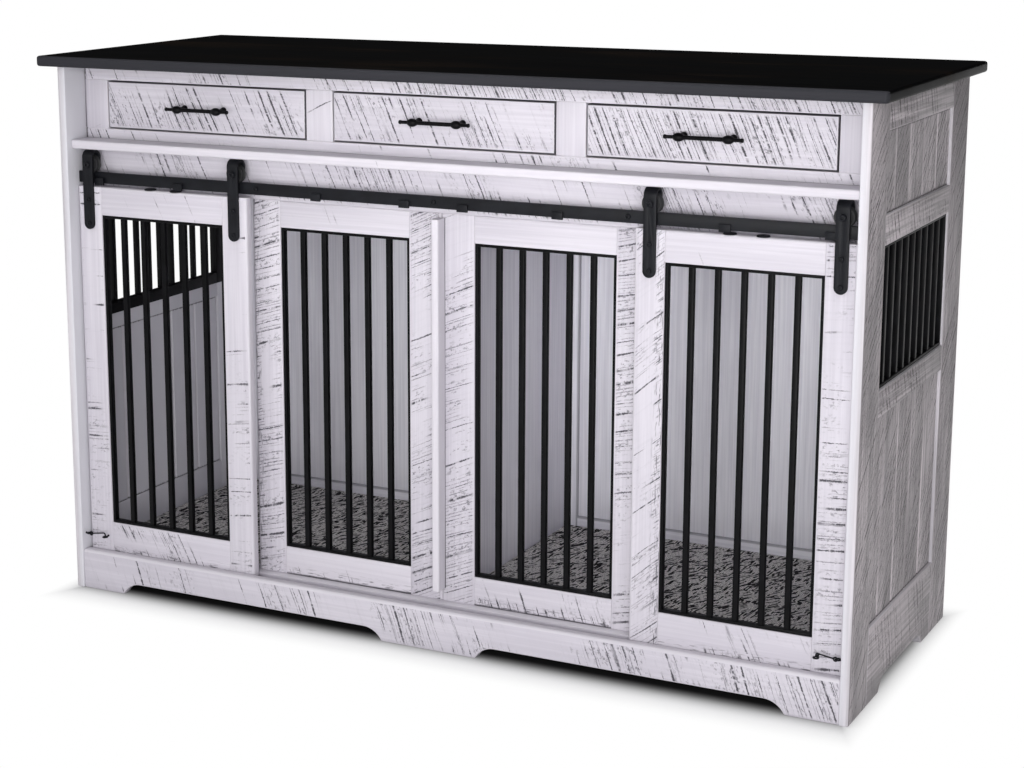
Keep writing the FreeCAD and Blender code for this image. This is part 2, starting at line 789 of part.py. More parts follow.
def keeper_eye():
    """The right door's screw eye, its ring level, that the hook drops into."""
    centre = V(latch_keeper_x, latch_y, latch_keeper_z)
    ring = Part.makeTorus(latch_eye_radius, latch_wire_radius, centre, Z_AXIS)
    neck = rod(centre + V(0, latch_eye_radius, 0), V(latch_keeper_x, door_front_y, latch_keeper_z),
               latch_wire_radius)
    return joined([ring, neck])


def hook():
    """The right hook: a loop on the pivot eye, an arm and a bent tip, lifted clear of the keeper eye."""
    pivot = V(latch_pivot_x, latch_y, latch_height)
    elbow = pivot - V(latch_arm_length, 0, 0)
    tip = elbow - V(0, 0, latch_tip_drop)
    loop = Part.makeTorus(latch_loop_radius, latch_wire_radius, pivot, Y_AXIS)
    arm = rod(pivot - V(latch_loop_radius, 0, 0), elbow, latch_wire_radius)
    bend = Part.makeSphere(latch_wire_radius, elbow)
    shape = joined([loop, arm, bend, rod(elbow, tip, latch_wire_radius)])
    shape.rotate(pivot, Y_AXIS, latch_rest_angle)
    return shape


os.makedirs("parts", exist_ok=True)

# Carcass
save("top_slab", [top_slab()])
save_pair("end_frame", end_frame())
save_pair("end_bottom_rail", [end_bottom_rail()])
save_pair("end_boards", end_boards())
save_pair("end_grille", [end_grille()])
save("kickboard", [kickboard()])
save("door_sill", door_sill())
save("back_frame", back_frame())
save("back_panels", back_panels())
save("floor_cleats", floor_cleats())
save("floor_deck", [board(-end_inner_x, end_inner_x, frame_back_y, back_frame_y,
                          deck_bottom_z, fence_top_z)])
save("kennel_ceiling", [board(-end_inner_x, end_inner_x, frame_back_y, back_frame_y,
                              ceiling_bottom_z, ceiling_top_z)])
save("divider", [board(-divider_thickness / 2, divider_thickness / 2, frame_back_y, back_frame_y,
                       fence_top_z, ceiling_bottom_z)])
save_pair("floor_mat", [floor_mat()])

# Face frame, fixed panels and track
save("drawer_face_frame", drawer_face_frame())
save("header_board", [header_board()])
save("ledge", [ledge()])
save_pair("fixed_frame", fixed_frame())
save_pair("fixed_grille", [front_grille(fixed_inner_stile_width, fixed_window_x,
                                        fence_top_z + fixed_bottom_rail_height,
                                        header_bottom_z - fixed_top_rail_height, frame_front_y)])
save("stop_strip", [stop_strip()])
save("track_rail", [track_rail()])
save("track_standoffs", track_standoffs())
save("track_stop_blocks", track_stop_blocks())

# Sliding doors with their hangers and wheels
save_pair("door_frame", door_frame())
save_pair("door_grille", [front_grille(door_inner_x + door_stile_width, door_outer_x - door_stile_width,
                                       door_bottom_z + door_bottom_rail_height,
                                       door_top_z - door_top_rail_height, door_front_y)])
save_pair("door_hangers", [hanger(x) for x in hanger_xs])
save_pair("hanger_bolts", [bolt for x in hanger_xs for bolt in hanger_bolts(x)])
save_pair("anti_jump_discs", anti_jump_discs())
for wheel_name, wheel_x in zip(("inner_wheel", "outer_wheel"), hanger_xs):
    save_pair(wheel_name, [wheel(wheel_x)])

# Latches
save("hook_pivot_eyes", [pivot_eye()] + mirrored([pivot_eye()]))
save_pair("keeper_eye", [keeper_eye()])
save_pair("hook", [hook()])

# Drawers
save("drawer_runners", drawer_runners())
for drawer_name, drawer_x in (("left", -drawer_pitch), ("middle", 0), ("right", drawer_pitch)):
    save(f"{drawer_name}_drawer_front", [drawer_front(drawer_x)])
    save(f"{drawer_name}_drawer_box", drawer_box(drawer_x))
    save(f"{drawer_name}_drawer_pull", [drawer_pull(drawer_x)])

print(f"Each door slides {door_travel:.1f} mm to the stop strip.")
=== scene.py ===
import math
import random

import bpy
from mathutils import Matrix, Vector


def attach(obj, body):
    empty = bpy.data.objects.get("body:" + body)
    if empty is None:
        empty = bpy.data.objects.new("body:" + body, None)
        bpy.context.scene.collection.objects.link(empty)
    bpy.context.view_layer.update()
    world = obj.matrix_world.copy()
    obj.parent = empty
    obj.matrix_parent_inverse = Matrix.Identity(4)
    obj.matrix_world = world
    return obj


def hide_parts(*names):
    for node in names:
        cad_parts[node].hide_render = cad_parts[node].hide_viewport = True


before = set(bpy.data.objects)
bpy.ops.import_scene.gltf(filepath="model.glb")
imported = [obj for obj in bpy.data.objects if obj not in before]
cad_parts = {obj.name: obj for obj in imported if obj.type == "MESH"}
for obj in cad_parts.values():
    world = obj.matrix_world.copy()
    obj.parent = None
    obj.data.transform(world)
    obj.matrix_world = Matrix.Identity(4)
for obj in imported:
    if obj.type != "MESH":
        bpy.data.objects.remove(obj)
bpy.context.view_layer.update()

# Places shared by many boards, in metres: half widths along X, depths along Y, heights along Z
END_OUT, END_IN = 0.7575, 0.7415
FRONT, BACK = -0.281, 0.305
FRAME_FRONT, FRAME_BACK = -0.221, -0.202
DOOR_FRONT, DOOR_BACK = -0.258, -0.239
DOOR_MIDDLE = -0.2485
WALL = 0.286
TOP_HALF, TOP_FRONT = 0.7875, -0.305
TOP_LOW, TOP_HIGH = 0.993, 1.012
DRAWER_HIGH, DRAWER_LOW = 0.965, 0.876
LEDGE_HIGH, CEILING_LOW = 0.858, 0.846
HEADER_HIGH, HEADER_LOW = 0.842, 0.766
TRACK_HIGH, TRACK_LOW = 0.799, 0.778
FENCE, FLOOR_LOW, BEARER_LOW = 0.074, 0.056, 0.028
DOOR_LOW, DOOR_HIGH = 0.070, 0.772
DRAWER_PITCH, DRAWER_OPENING = 0.478, 0.2125
DRAWER_FRONT, DRAWER_REAR = -0.222, -0.203
BOX_HALF = DRAWER_OPENING - 0.008
WINDOW_FRONT, WINDOW_REAR = FRONT + 0.098, BACK - 0.104
WINDOW_LOW, WINDOW_HIGH = 0.529, 0.760
PANEL_LOW, PANEL_HIGH = 0.484, 0.809
BOARDS_LOW, BOARDS_HIGH = 0.135, 0.940

# The doors and fixed panels on the right: their spans, stiles from the middle outwards, low and high rails
FIXED_X, FIXED_Z = (0, 0.382), (FENCE, HEADER_LOW)
FIXED_STILES, FIXED_RAILS = (0.063, 0.059), (0.052, 0.048)
DOOR_X, DOOR_Z = (0.370, 0.738), (DOOR_LOW, DOOR_HIGH)
DOOR_STILES, DOOR_RAILS = (0.052, 0.052), (0.061, 0.052)

UP, RIGHT, BACKWARD = Vector((0, 0, 1)), Vector((1, 0, 0)), Vector((0, 1, 0))
# How close counts as flat, how wide boards are eased or rounded, and how far the painted shade in joints and
# corners reaches
FLAT, EASE, JOINT_SHADE_WIDTH = 1e-5, 0.0021, 0.007
OPEN_ROUND = 0.0045

chance = random.Random(62)


# Modelling

def edit_mode():
    """Go into edit mode."""
    bpy.ops.object.mode_set(mode="EDIT")


def object_mode():
    """Go back to object mode."""
    bpy.ops.object.mode_set(mode="OBJECT")


def nothing_selected():
    """Leave edit mode and clear the selection."""
    if bpy.context.object and bpy.context.object.mode != "OBJECT":
        object_mode()
    bpy.ops.object.select_all(action="DESELECT")


def only(piece):
    """Make one piece the selected and active one."""
    nothing_selected()
    piece.select_set(True)
    bpy.context.view_layer.objects.active = piece


def in_place():
    """Put the active object's place, turn and size into its mesh."""
    bpy.ops.object.transform_apply(location=True, rotation=True, scale=True)
    return bpy.context.object


def turned_out():
    """Turn all faces outwards and leave edit mode."""
    bpy.ops.mesh.select_all(action="SELECT")
    bpy.ops.mesh.normals_make_consistent(inside=False)
    object_mode()


def sawn(x, y, z):
    """A square block that fills three spans."""
    nothing_selected()
    middle = [(a + b) / 2 for a, b in (x, y, z)]
    bpy.ops.mesh.primitive_cube_add(size=1, location=middle)
    bpy.context.object.scale = [abs(b - a) for a, b in (x, y, z)]
    return in_place()


def spun(points, middle, axis, steps=32):
    """Turn a profile round an axis: one point is drawn out along the profile and then spun."""
    nothing_selected()
    bpy.ops.mesh.primitive_plane_add(size=0.001, location=points[0])
    piece = in_place()
    edit_mode()
    bpy.ops.mesh.select_mode(type="VERT")
    bpy.ops.mesh.select_all(action="SELECT")
    bpy.ops.mesh.merge(type="CENTER")
    for here, there in zip(points, points[1:]):
        bpy.ops.mesh.extrude_vertices_move(TRANSFORM_OT_translate={"value": Vector(there) - Vector(here)})
    bpy.ops.mesh.select_all(action="SELECT")
    bpy.ops.mesh.spin(steps=steps, angle=2 * math.pi, center=middle, axis=axis)
    bpy.ops.mesh.select_all(action="SELECT")
    bpy.ops.mesh.remove_doubles(threshold=0.000001)
    turned_out()
    return piece


def echoed(piece, steps):
    """The piece, and a copy of it moved by each step."""
    made = [piece]
    for step in steps:
        only(piece)
        bpy.ops.object.duplicate()
        bpy.context.object.location = step
        made.append(in_place())
    return made


def mirrored(piece):
    """A copy of the piece on the other side of the middle."""
    only(piece)
    bpy.ops.object.duplicate()
    bpy.context.object.scale = (-1, 1, 1)
    made = in_place()
    edit_mode()
    turned_out()
    return made


def pick(piece, test, kind="EDGE"):
    """Select the edges or faces whose middle passes a test, and go into edit mode."""
    only(piece)
    edit_mode()
    bpy.ops.mesh.select_mode(type=kind)
    bpy.ops.mesh.select_all(action="DESELECT")
    object_mode()
    mesh = piece.data
    for part in (mesh.edges if kind == "EDGE" else mesh.polygons):
        points = [mesh.vertices[i].co for i in part.vertices]
        part.select = bool(test(sum(points, Vector()) / len(points), points))
    edit_mode()


def rounded(piece, width, steps, test=lambda middle, ends: True):
    """Round the edges that pass a test."""
    pick(piece, test)
    bpy.ops.mesh.bevel(offset=width, offset_type="OFFSET", segments=steps, profile=0.5,
                       affect="EDGES", clamp_overlap=True)
    object_mode()
    return piece


def runs_along(ends, axis):
    """Whether an edge runs along an axis."""
    step = ends[1] - ends[0]
    return abs(step.normalized().dot(axis)) > 0.99


def reaches(piece, way):
    """How far each point of a piece lies along a way."""
    return [vertex.co.dot(way) for vertex in piece.data.vertices]


def grain(piece, along, across, lean=0.42, marks=0.5, worn_and_sheen_edge=None, inward=None, in_shade=None,
          grimed=(), pitch=0.018):
    """Write where each point lies in its board: along the grain, across it and through it.

    Marks stay off the rounded edges. The optional facts, in turn: the way to the edge that is worn dark
    with saw marks, which on the dark top is the front edge with a painted sheen; the way to a smooth inner
    face; a test for points in a gap that get painted shade; the ways to edges that get painted shade
    where the board meets another in a corner; and the space between bold saw cuts."""
    mesh = piece.data
    shift = [chance.uniform(1, 40) for _ in range(3)]
    lengths, sides, depths = [reaches(piece, way) for way in (along, across, along.cross(across))]
    count = len(depths)
    low, high = min(depths) + FLAT, max(depths) - FLAT
    edge, half = min(sides), (max(sides) - min(sides)) / 2
    facts = {"lean": [lean] * count, "rim": [1.0] * count, "inside": [0.0] * count, "pitch": [pitch] * count,
             "marks": [marks if depth < low or depth > high else 0.0 for depth in depths],
             "side": [(value - edge) / half - 1 for value in sides],
             "joint_shade": [float(in_shade(vertex.co)) if in_shade else 0.0 for vertex in mesh.vertices]}
    # Painted shade along the edges where the board meets another in a corner
    for way in grimed:
        reach = reaches(piece, way)
        limit = max(reach) - EASE
        facts["joint_shade"] = [1.0 if value > limit else amount for value, amount in zip(reach, facts["joint_shade"])]
    if worn_and_sheen_edge:
        reach = reaches(piece, worn_and_sheen_edge)
        limit = max(reach)
        facts["rim"] = [limit - value for value in reach]
    if inward:
        reach = reaches(piece, inward)
        limit = max(reach) - EASE
        facts["inside"] = [float(value > limit) for value in reach]
        facts["marks"] = [amount * (1 - hidden) for amount, hidden in zip(facts["marks"], facts["inside"])]
    spots = [value + start for spot in zip(lengths, sides, depths) for value, start in zip(spot, shift)]
    mesh.attributes.new("grain", "FLOAT_VECTOR", "POINT").data.foreach_set("vector", spots)
    for name, values in facts.items():
        mesh.attributes.new(name, "FLOAT", "POINT").data.foreach_set("value", values)
    return piece


def dressed(board, ease, wide=None):
    """Round a board's open long edge widely, where it has one, and ease its other edges."""
    if not wide:
        return rounded(board, ease, 2)
    reach = max(reaches(board, wide))
    size = list(board.dimensions)
    longest = (RIGHT, BACKWARD, UP)[size.index(max(size))]

    def is_open(middle, ends):
        return middle.dot(wide) > reach - FLAT and runs_along(ends, longest)
    rounded(board, OPEN_ROUND, 4, is_open)
    return crisp(board, ease)


def corners_cut(board, ways):
    """Cut a narrow strip along each edge where a board meets another in a corner, to hold the painted shade
    there.
    """
    for way in ways:
        reach = max(reaches(board, way))
        pick(board, lambda middle, points: True, "FACE")
        bpy.ops.mesh.bisect(plane_co=way * (reach - JOINT_SHADE_WIDTH), plane_no=way)
        object_mode()
    return board


def crisp(board, ease):
    """Ease the edges that are still sharp."""
    only(board)
    edit_mode()
    bpy.ops.mesh.select_mode(type="EDGE")
    bpy.ops.mesh.select_all(action="DESELECT")
    bpy.ops.mesh.edges_select_sharp(sharpness=math.radians(60))
    bpy.ops.mesh.bevel(offset=ease, offset_type="OFFSET", segments=2, profile=0.5,
                       affect="EDGES", clamp_overlap=True)
    object_mode()
    return board


def level_board(x, y, z, marks=0.5, lean=0.45, ease=0.0012, across=UP, along=RIGHT, wide=None, **facts):
    """A board whose grain runs level, from left to right unless along says otherwise."""
    board = corners_cut(dressed(sawn(x, y, z), ease, wide), facts.get("grimed", ()))
    return grain(board, along, across, lean, marks, **facts)


def upright_board(x, y, z, marks=0.5, lean=0.42, ease=0.0012, across=-RIGHT, **facts):
    """A board whose grain runs up and down."""
    return level_board(x, y, z, marks, lean, ease, across, UP, **facts)


def joined(name, parts):
    """One object out of several."""
    nothing_selected()
    for part in parts:
        part.select_set(True)
    bpy.context.view_layer.objects.active = parts[0]
    if len(parts) > 1:
        bpy.ops.object.join()
    whole = bpy.context.object
    whole.name = whole.data.name = name
    return whole


def fitted(name, parts, node, finish, body="carcass"):
    """Join the parts of a piece, give it its finish and set it on its body in place of a solid."""
    piece = joined(name, parts)
    piece.data.materials.clear()
    piece.data.materials.append(finish)
    only(piece)
    bpy.ops.object.shade_smooth_by_angle(angle=math.radians(40))
    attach(piece, body)
    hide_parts(node)


def copied(node, ease, steps):
    """A merged copy of a solid, with its sharp edges eased."""
    nothing_selected()
    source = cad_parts[node]
    piece = bpy.data.objects.new(node + "_copy", source.data.copy())
    bpy.context.scene.collection.objects.link(piece)
    only(piece)
    edit_mode()
    bpy.ops.mesh.select_all(action="SELECT")
    bpy.ops.mesh.remove_doubles(threshold=0.00001)
    bpy.ops.mesh.dissolve_limited(angle_limit=math.radians(1))
    object_mode()
    softer = piece.modifiers.new("ease", "BEVEL")
    softer.width = ease
    softer.segments = steps
    softer.limit_method = "ANGLE"
    softer.angle_limit = math.radians(40)
    bpy.ops.object.modifier_apply(modifier="ease")
    return piece


# Finishes

def put(tree, kind, settings=None, **inputs):
    """Add a node, with its settings, and set or link its inputs by name."""
    made = tree.nodes.new("ShaderNode" + kind)
    for key, value in (settings or {}).items():
        setattr(made, key, value)
    for key, value in inputs.items():
        feed(made, key.replace("_", " "), value)
    return made


def feed(made, key, value):
    """Set or link one input of a node."""
    socket = made.inputs[key]
    if isinstance(value, bpy.types.NodeSocket):
        made.id_data.links.new(value, socket)
    else:
        socket.default_value = value


def sums(how, *values):
    """The output of a Math node, in the tree of the first socket among its values."""
    tree = next(value.id_data for value in values if isinstance(value, bpy.types.NodeSocket))
    made = put(tree, "Math", {"operation": how})
    for index, value in enumerate(values):
        feed(made, index, value)
    return made.outputs[0]


def times(a, b):
    """One value times another."""
    return sums("MULTIPLY", a, b)


def minus(a, b):
    """One value less another."""
    return sums("SUBTRACT", a, b)


def scaled(a, b, c):
    """One value times another, and a third added."""
    return sums("MULTIPLY_ADD", a, b, c)


def step_between(value, low, high):
    """0 below low, 1 above high, smooth between."""
    made = put(value.id_data, "MapRange", {"interpolation_type": "SMOOTHSTEP"},
               Value=value, From_Min=low, From_Max=high)
    return made.outputs[0]


def noise(place, scale, detail=1.0, rough=0.5):
    """Noise with scale cells per metre."""
    made = put(place.id_data, "TexNoise", Vector=place, Scale=scale, Detail=detail, Roughness=rough)
    return made.outputs["Fac"]


def stretched(parts, x, y, z, detail=2.0, rough=0.55):
    """Noise whose cells are stretched: x, y and z are cells per metre."""
    cells = [times(part, count) for part, count in zip(parts, (x, y, z))]
    place = put(cells[0].id_data, "CombineXYZ", X=cells[0], Y=cells[1], Z=cells[2])
    return noise(place.outputs[0], 1.0, detail, rough)


def blended(amount, first, second):
    """Two colours mixed."""
    made = put(amount.id_data, "Mix", {"data_type": "RGBA"})
    feed(made, 0, amount)
    feed(made, 6, first)
    feed(made, 7, second)
    return made.outputs[2]


def new_group(name, vectors, floats, results):
    """An empty node group with its sockets. Its results are single values."""
    tree = bpy.data.node_groups.new(name, "ShaderNodeTree")
    for way, kind, sockets in (("INPUT", "Vector", vectors), ("INPUT", "Float", floats),
                               ("OUTPUT", "Float", results)):
        for socket in sockets:
            tree.interface.new_socket(name=socket, in_out=way, socket_type="NodeSocket" + kind)
    return tree, tree.nodes.new("NodeGroupInput").outputs, tree.nodes.new("NodeGroupOutput")


def saw_cuts(parts, patch, reach, pitch, thin, thick):
    """One set of parallel cuts. Each has its own place, width and strength, and breaks off at random."""
    tree = parts[0].id_data
    turn = sums("DIVIDE", parts[0], pitch)
    number = sums("FLOOR", turn)
    spot = put(tree, "CombineXYZ", X=number, Y=sums("FLOOR", times(parts[2], 20)))
    luck = put(tree, "TexWhiteNoise", {"noise_dimensions": "2D"}, Vector=spot.outputs[0]).outputs["Color"]
    luck = put(tree, "SeparateColor", Color=luck).outputs
    middle = scaled(luck["Red"], 0.4, 0.3)
    away = sums("ABSOLUTE", minus(sums("FRACT", turn), middle))
    away = times(away, pitch)
    along = (times(number, 3.7), parts[1], parts[2])
    swell = stretched(along, 1, 60, 9, 2.0)
    width = scaled(sums("POWER", luck["Green"], 2.0), thick - thin, thin)
    width = times(width, times(swell, 2.0))
    cut = minus(1.0, step_between(away, times(width, 0.35), width))
    broken = step_between(stretched(along, 1, 75, 9, 3.0, 0.75), 0.33, 0.50)
    runs = scaled(luck["Blue"], 0.22, patch)
    runs = scaled(stretched(along, 1, 16, 9, 1.0), 0.5, runs)
    kept = step_between(runs, reach, sums("ADD", reach, 0.12))
    return times(cut, times(broken, kept))


def saw_strokes():
    """Broken dark lines that a saw blade left across a board, in patches, with fine ridges between."""
    tree, given, out = new_group("saw strokes", ["Grain"], ["Lean", "Marks", "Rim", "Pitch", "Side"],
                                 ["Stroke", "Ridge", "Height"])
    split = put(tree, "SeparateXYZ", Vector=given["Grain"]).outputs
    bend = noise(given["Grain"], 9.0)
    fray = noise(given["Grain"], 420.0)
    slid = scaled(split["Y"], given["Lean"], split["X"])
    slid = scaled(minus(bend, 0.5), 0.010, slid)
    slid = scaled(minus(fray, 0.5), 0.0030, slid)
    parts = (slid, split["Y"], split["Z"])
    band = minus(1.0, step_between(given["Rim"], 0.006, 0.022))
    amount = scaled(band, times(given["Marks"], 0.6), given["Marks"])
    patch = stretched(parts, 6, 7, 9, 2.0)
    reach = scaled(amount, -0.55, 1.20)
    bold = saw_cuts(parts, patch, reach, given["Pitch"], 0.0009, 0.0030)
    fine = saw_cuts(parts, patch, sums("ADD", reach, 0.07), 0.0062, 0.0005, 0.0016)
    grit = step_between(stretched(parts, 240, 130, 50, 2.0, 0.6), 0.55, 0.66)
    rows = step_between(stretched(parts, 60, 5, 9, 1.0), 0.44, 0.58)
    near = step_between(patch, minus(reach, 0.40), minus(reach, 0.24))
    grit = times(times(grit, rows), near)
    straight = (split["X"], split["Y"], split["Z"])
    tears = step_between(stretched(straight, 42, 380, 50, 2.0), 0.56, 0.66)
    stroke = sums("MAXIMUM", bold, times(fine, 0.6))
    stroke = sums("MAXIMUM", stroke, times(grit, 0.65))
    stroke = sums("MAXIMUM", stroke, times(tears, times(band, 0.8)))
    stroke = times(stroke, step_between(given["Marks"], 0.0, 0.05))
    edge = step_between(sums("ABSOLUTE", given["Side"]), 0.80, 0.97)
    edge = times(edge, step_between(given["Rim"], 0.012, 0.03))
    stroke = times(stroke, scaled(edge, -0.92, 1.0))
    rough = step_between(given["Marks"], 0.1, 0.6)
    ridge = times(stretched(parts, 210, 3, 9, 2.0), rough)
    height = scaled(stroke, -1.0, times(ridge, 0.5))
    feed(out, "Stroke", stroke)
    feed(out, "Ridge", ridge)
    feed(out, "Height", height)
    return tree


def fine_grain():
    """Faint streaks along a board and a slow drift of tone over it."""
    tree, given, out = new_group("fine grain", ["Grain"], [], ["Streak", "Drift"])
    split = put(tree, "SeparateXYZ", Vector=given["Grain"]).outputs
    parts = (split["X"], split["Y"], split["Z"])
    feed(out, "Streak", stretched(parts, 4, 210, 210, 3.0, 0.6))
    feed(out, "Drift", stretched(parts, 2.2, 8, 8, 2.0))
    return tree


def coat_specks():
    """The fine texture of a sprayed coat: a pebbled height and slow changes of sheen."""
    tree, given, out = new_group("coat specks", ["Place"], ["Size"], ["Pebble", "Sheen"])
    pebble = noise(given["Place"], given["Size"], 2.0)
    sheen = noise(given["Place"], 35.0, 3.0)
    feed(out, "Pebble", pebble)
    feed(out, "Sheen", sheen)
    return tree


def placed(tree, group, **inputs):
    """A node group set into a material."""
    made = tree.nodes.new("ShaderNodeGroup")
    made.node_tree = group
    for key, value in inputs.items():
        feed(made, key, value)
    return made.outputs


def new_finish(name):
    """A material with its shader."""
    made = bpy.data.materials.new(name)
    made.use_nodes = True
    return made, made.node_tree, made.node_tree.nodes["Principled BSDF"]


def coated(shader, colour, dull, shine, height, strength, distance):
    """Give a shader its colour, roughness and shine, and a fine relief."""
    feed(shader, "Base Color", colour)
    feed(shader, "Roughness", dull)
    feed(shader, "Specular IOR Level", shine)
    bump = put(shader.id_data, "Bump", Height=height, Strength=strength, Distance=distance)
    feed(shader, "Normal", bump.outputs[0])


def board_facts(tree):
    """What each board carries: its grain, and then its single values."""
    place = put(tree, "Attribute", {"attribute_name": "grain"}).outputs["Vector"]
    return [place] + [put(tree, "Attribute", {"attribute_name": name}).outputs["Fac"]
                      for name in ("lean", "marks", "rim", "inside", "joint_shade", "pitch", "side")]


def rough_white(name, pale, grey, ink_and_shade, strength, spread=(0.36, 0.66)):
    """Whitewashed rough-sawn wood, with painted shade in its joints, corners and gaps."""
    made, tree, shader = new_finish(name)
    place, lean, marks, rim, inside, joint_shade, pitch, side = board_facts(tree)
    saw = placed(tree, STROKES, Grain=place, Lean=lean, Marks=marks, Rim=rim, Pitch=pitch, Side=side)
    fibre = placed(tree, FIBRES, Grain=place)
    tone = scaled(fibre["Streak"], 0.5, times(fibre["Drift"], 0.5))
    wash = blended(step_between(tone, *spread), grey, pale)
    lines = times(step_between(saw["Ridge"], 0.52, 0.74), 0.13)
    wash = blended(lines, wash, [c * 0.72 for c in grey[:3]] + [1])
    bare = scaled(fibre["Streak"], 0.9, 0.15)
    sanded = times(step_between(marks, 0.30, 0.0), bare)
    wash = blended(sanded, wash, SANDED_TONE)
    wash = blended(inside, wash, INNER_SIDE)
    colour = blended(times(saw["Stroke"], strength), wash, ink_and_shade)
    # Painted shade: joints, corners and gaps take the dark ink colour, where shade falls
    shade_line = scaled(minus(fibre["Streak"], 0.5), 0.9, joint_shade)
    shade_line = times(step_between(shade_line, 0.38, 0.98), 0.92)
    colour = blended(shade_line, colour, ink_and_shade)
    dull = scaled(saw["Stroke"], 0.25, scaled(tone, 0.2, 0.42))
    coated(shader, colour, dull, 0.3, saw["Height"], 0.45, 0.0006)
    return made


def smooth_paint(name, pale, grey):
    """Smooth painted boards with brush streaks along the grain, and painted shade in their corners."""
    made, tree, shader = new_finish(name)
    place, _, _, _, _, joint_shade, _, _ = board_facts(tree)
    fibre = placed(tree, FIBRES, Grain=place)
    tone = scaled(fibre["Streak"], 0.6, times(fibre["Drift"], 0.4))
    wash = blended(step_between(tone, 0.36, 0.64), grey, pale)
    # Painted shade: the corners take a dark colour, where shade falls
    shade_line = scaled(minus(fibre["Streak"], 0.5), 0.8, joint_shade)
    shade_line = times(step_between(shade_line, 0.35, 1.0), 0.6)
    colour = blended(shade_line, wash, (0.10, 0.095, 0.115, 1))
    dull = scaled(fibre["Streak"], 0.2, 0.42)
    coated(shader, colour, dull, 0.5, fibre["Streak"], 0.15, 0.0003)
    return made


def dark_stain(name):
    """Near-black stained wood under a satin lacquer: a little brown in its grain, and greyer edges and front
    rim, a painted sheen.
    """
    made, tree, shader = new_finish(name)
    place, _, marks, rim = board_facts(tree)[:4]
    fibre = placed(tree, FIBRES, Grain=place)
    brown = step_between(times(fibre["Streak"], fibre["Drift"]), 0.27, 0.42)
    face = blended(brown, (0.0032, 0.0032, 0.0036, 1), (0.014, 0.0095, 0.007, 1))
    # Painted sheen: the edges, sides and front rim of the top are greyer than its face
    edge = blended(fibre["Streak"], (0.027, 0.027, 0.031, 1), (0.036, 0.036, 0.042, 1))
    edge = blended(step_between(rim, 0.004, 0.012), edge, face)
    stain_and_sheen = blended(step_between(marks, 0.0, 0.4), edge, face)
    dull = scaled(fibre["Drift"], 0.22, 0.27)
    coated(shader, stain_and_sheen, dull, 0.02, fibre["Streak"], 0.12, 0.0003)
    return made


def black_coat(name, dark, light, rough, size, shine=0.25):
    """A matt black coat on steel or a black moulding."""
    made, tree, shader = new_finish(name)
    place = put(tree, "TexCoord").outputs["Object"]
    coat = placed(tree, SPECKS, Place=place, Size=size)
    colour = blended(step_between(coat["Sheen"], 0.35, 0.7), dark, light)
    dull = scaled(coat["Sheen"], 0.25, rough - 0.12)
    coated(shader, colour, dull, shine, coat["Pebble"], 0.25, 0.0002)
    return made


def yarn_rows():
    """Short yarns in staggered rows: a tone for each yarn and its rounded height."""
    tree, given, out = new_group("yarn rows", ["Place", "Turn"], [], ["Tone", "Height"])
    turn = put(tree, "Mapping", Vector=given["Place"], Rotation=given["Turn"]).outputs[0]
    wave = noise(given["Place"], 60.0)
    split = put(tree, "SeparateXYZ", Vector=turn).outputs
    row = sums("DIVIDE", split["Y"], YARN_WIDE)
    row = scaled(minus(wave, 0.5), 0.9, row)
    line = sums("FLOOR", row)
    run = scaled(line, 0.37, sums("DIVIDE", split["X"], YARN_LONG))
    spot = put(tree, "CombineXYZ", X=sums("FLOOR", run), Y=line)
    tone = put(tree, "TexWhiteNoise", {"noise_dimensions": "2D"}, Vector=spot.outputs[0]).outputs["Value"]
    over = sums("SINE", times(sums("FRACT", row), math.pi))
    ends = sums("SINE", times(sums("FRACT", run), math.pi))
    height = times(over, sums("POWER", ends, 0.4))
    feed(out, "Tone", tone)
    feed(out, "Height", height)
    return tree


def flecked_weave(name):
    """Black and pale yarns in a loose weave that slants one way or the other, with painted shade between the
    yarns.
    """
    made, tree, shader = new_finish(name)
    place = put(tree, "TexCoord").outputs["Object"]
    first = placed(tree, YARNS, Place=place, Turn=(0, 0, math.radians(-86)))
    second = placed(tree, YARNS, Place=place, Turn=(0, 0, math.radians(-60)))
    over = step_between(noise(place, 38.0), 0.49, 0.51)
    tone = put(tree, "Mix", Factor=over, A=first["Tone"], B=second["Tone"]).outputs[0]
    high = put(tree, "Mix", Factor=over, A=first["Height"], B=second["Height"]).outputs[0]
    fuzz = noise(place, 900.0, 2.0)
    pale = blended(fuzz, (0.80, 0.77, 0.75, 1), (0.97, 0.95, 0.93, 1))
    colour = blended(step_between(tone, 0.24, 0.46), (0.020, 0.018, 0.019, 1), pale)
    # Painted shade: the low places between the yarns go near black
    shade = blended(step_between(high, 0.08, 0.48), (0.02, 0.019, 0.019, 1), colour)
    dull, pile = scaled(fuzz, 0.1, 0.88), scaled(fuzz, 0.3, high)
    coated(shader, shade, dull, 0.2, pile, 0.8, 0.002)
    return made


YARN_WIDE, YARN_LONG = 0.0030, 0.0160
INNER_SIDE = (0.62, 0.61, 0.655, 1)
SANDED_TONE = (0.61, 0.585, 0.63, 1)
STROKES, FIBRES, SPECKS, YARNS = saw_strokes(), fine_grain(), coat_specks(), yarn_rows()
WHITE = rough_white("whitewashed boards", (0.60, 0.572, 0.626, 1), (0.51, 0.483, 0.540, 1),
                    (0.030, 0.028, 0.036, 1), 0.93)
END_WHITE = rough_white("whitewashed end boards", (0.63, 0.575, 0.605, 1), (0.31, 0.285, 0.30, 1),
                        (0.055, 0.049, 0.052, 1), 0.88, (0.41, 0.60))
INNER = smooth_paint("inside paint", (0.93, 0.915, 0.975, 1), (0.78, 0.765, 0.835, 1))
DARK = dark_stain("dark top stain")
STEEL = black_coat("black coated steel", (0.0043, 0.0046, 0.0066, 1), (0.0072, 0.0078, 0.0106, 1),
                   0.5, 900.0, 0.16)
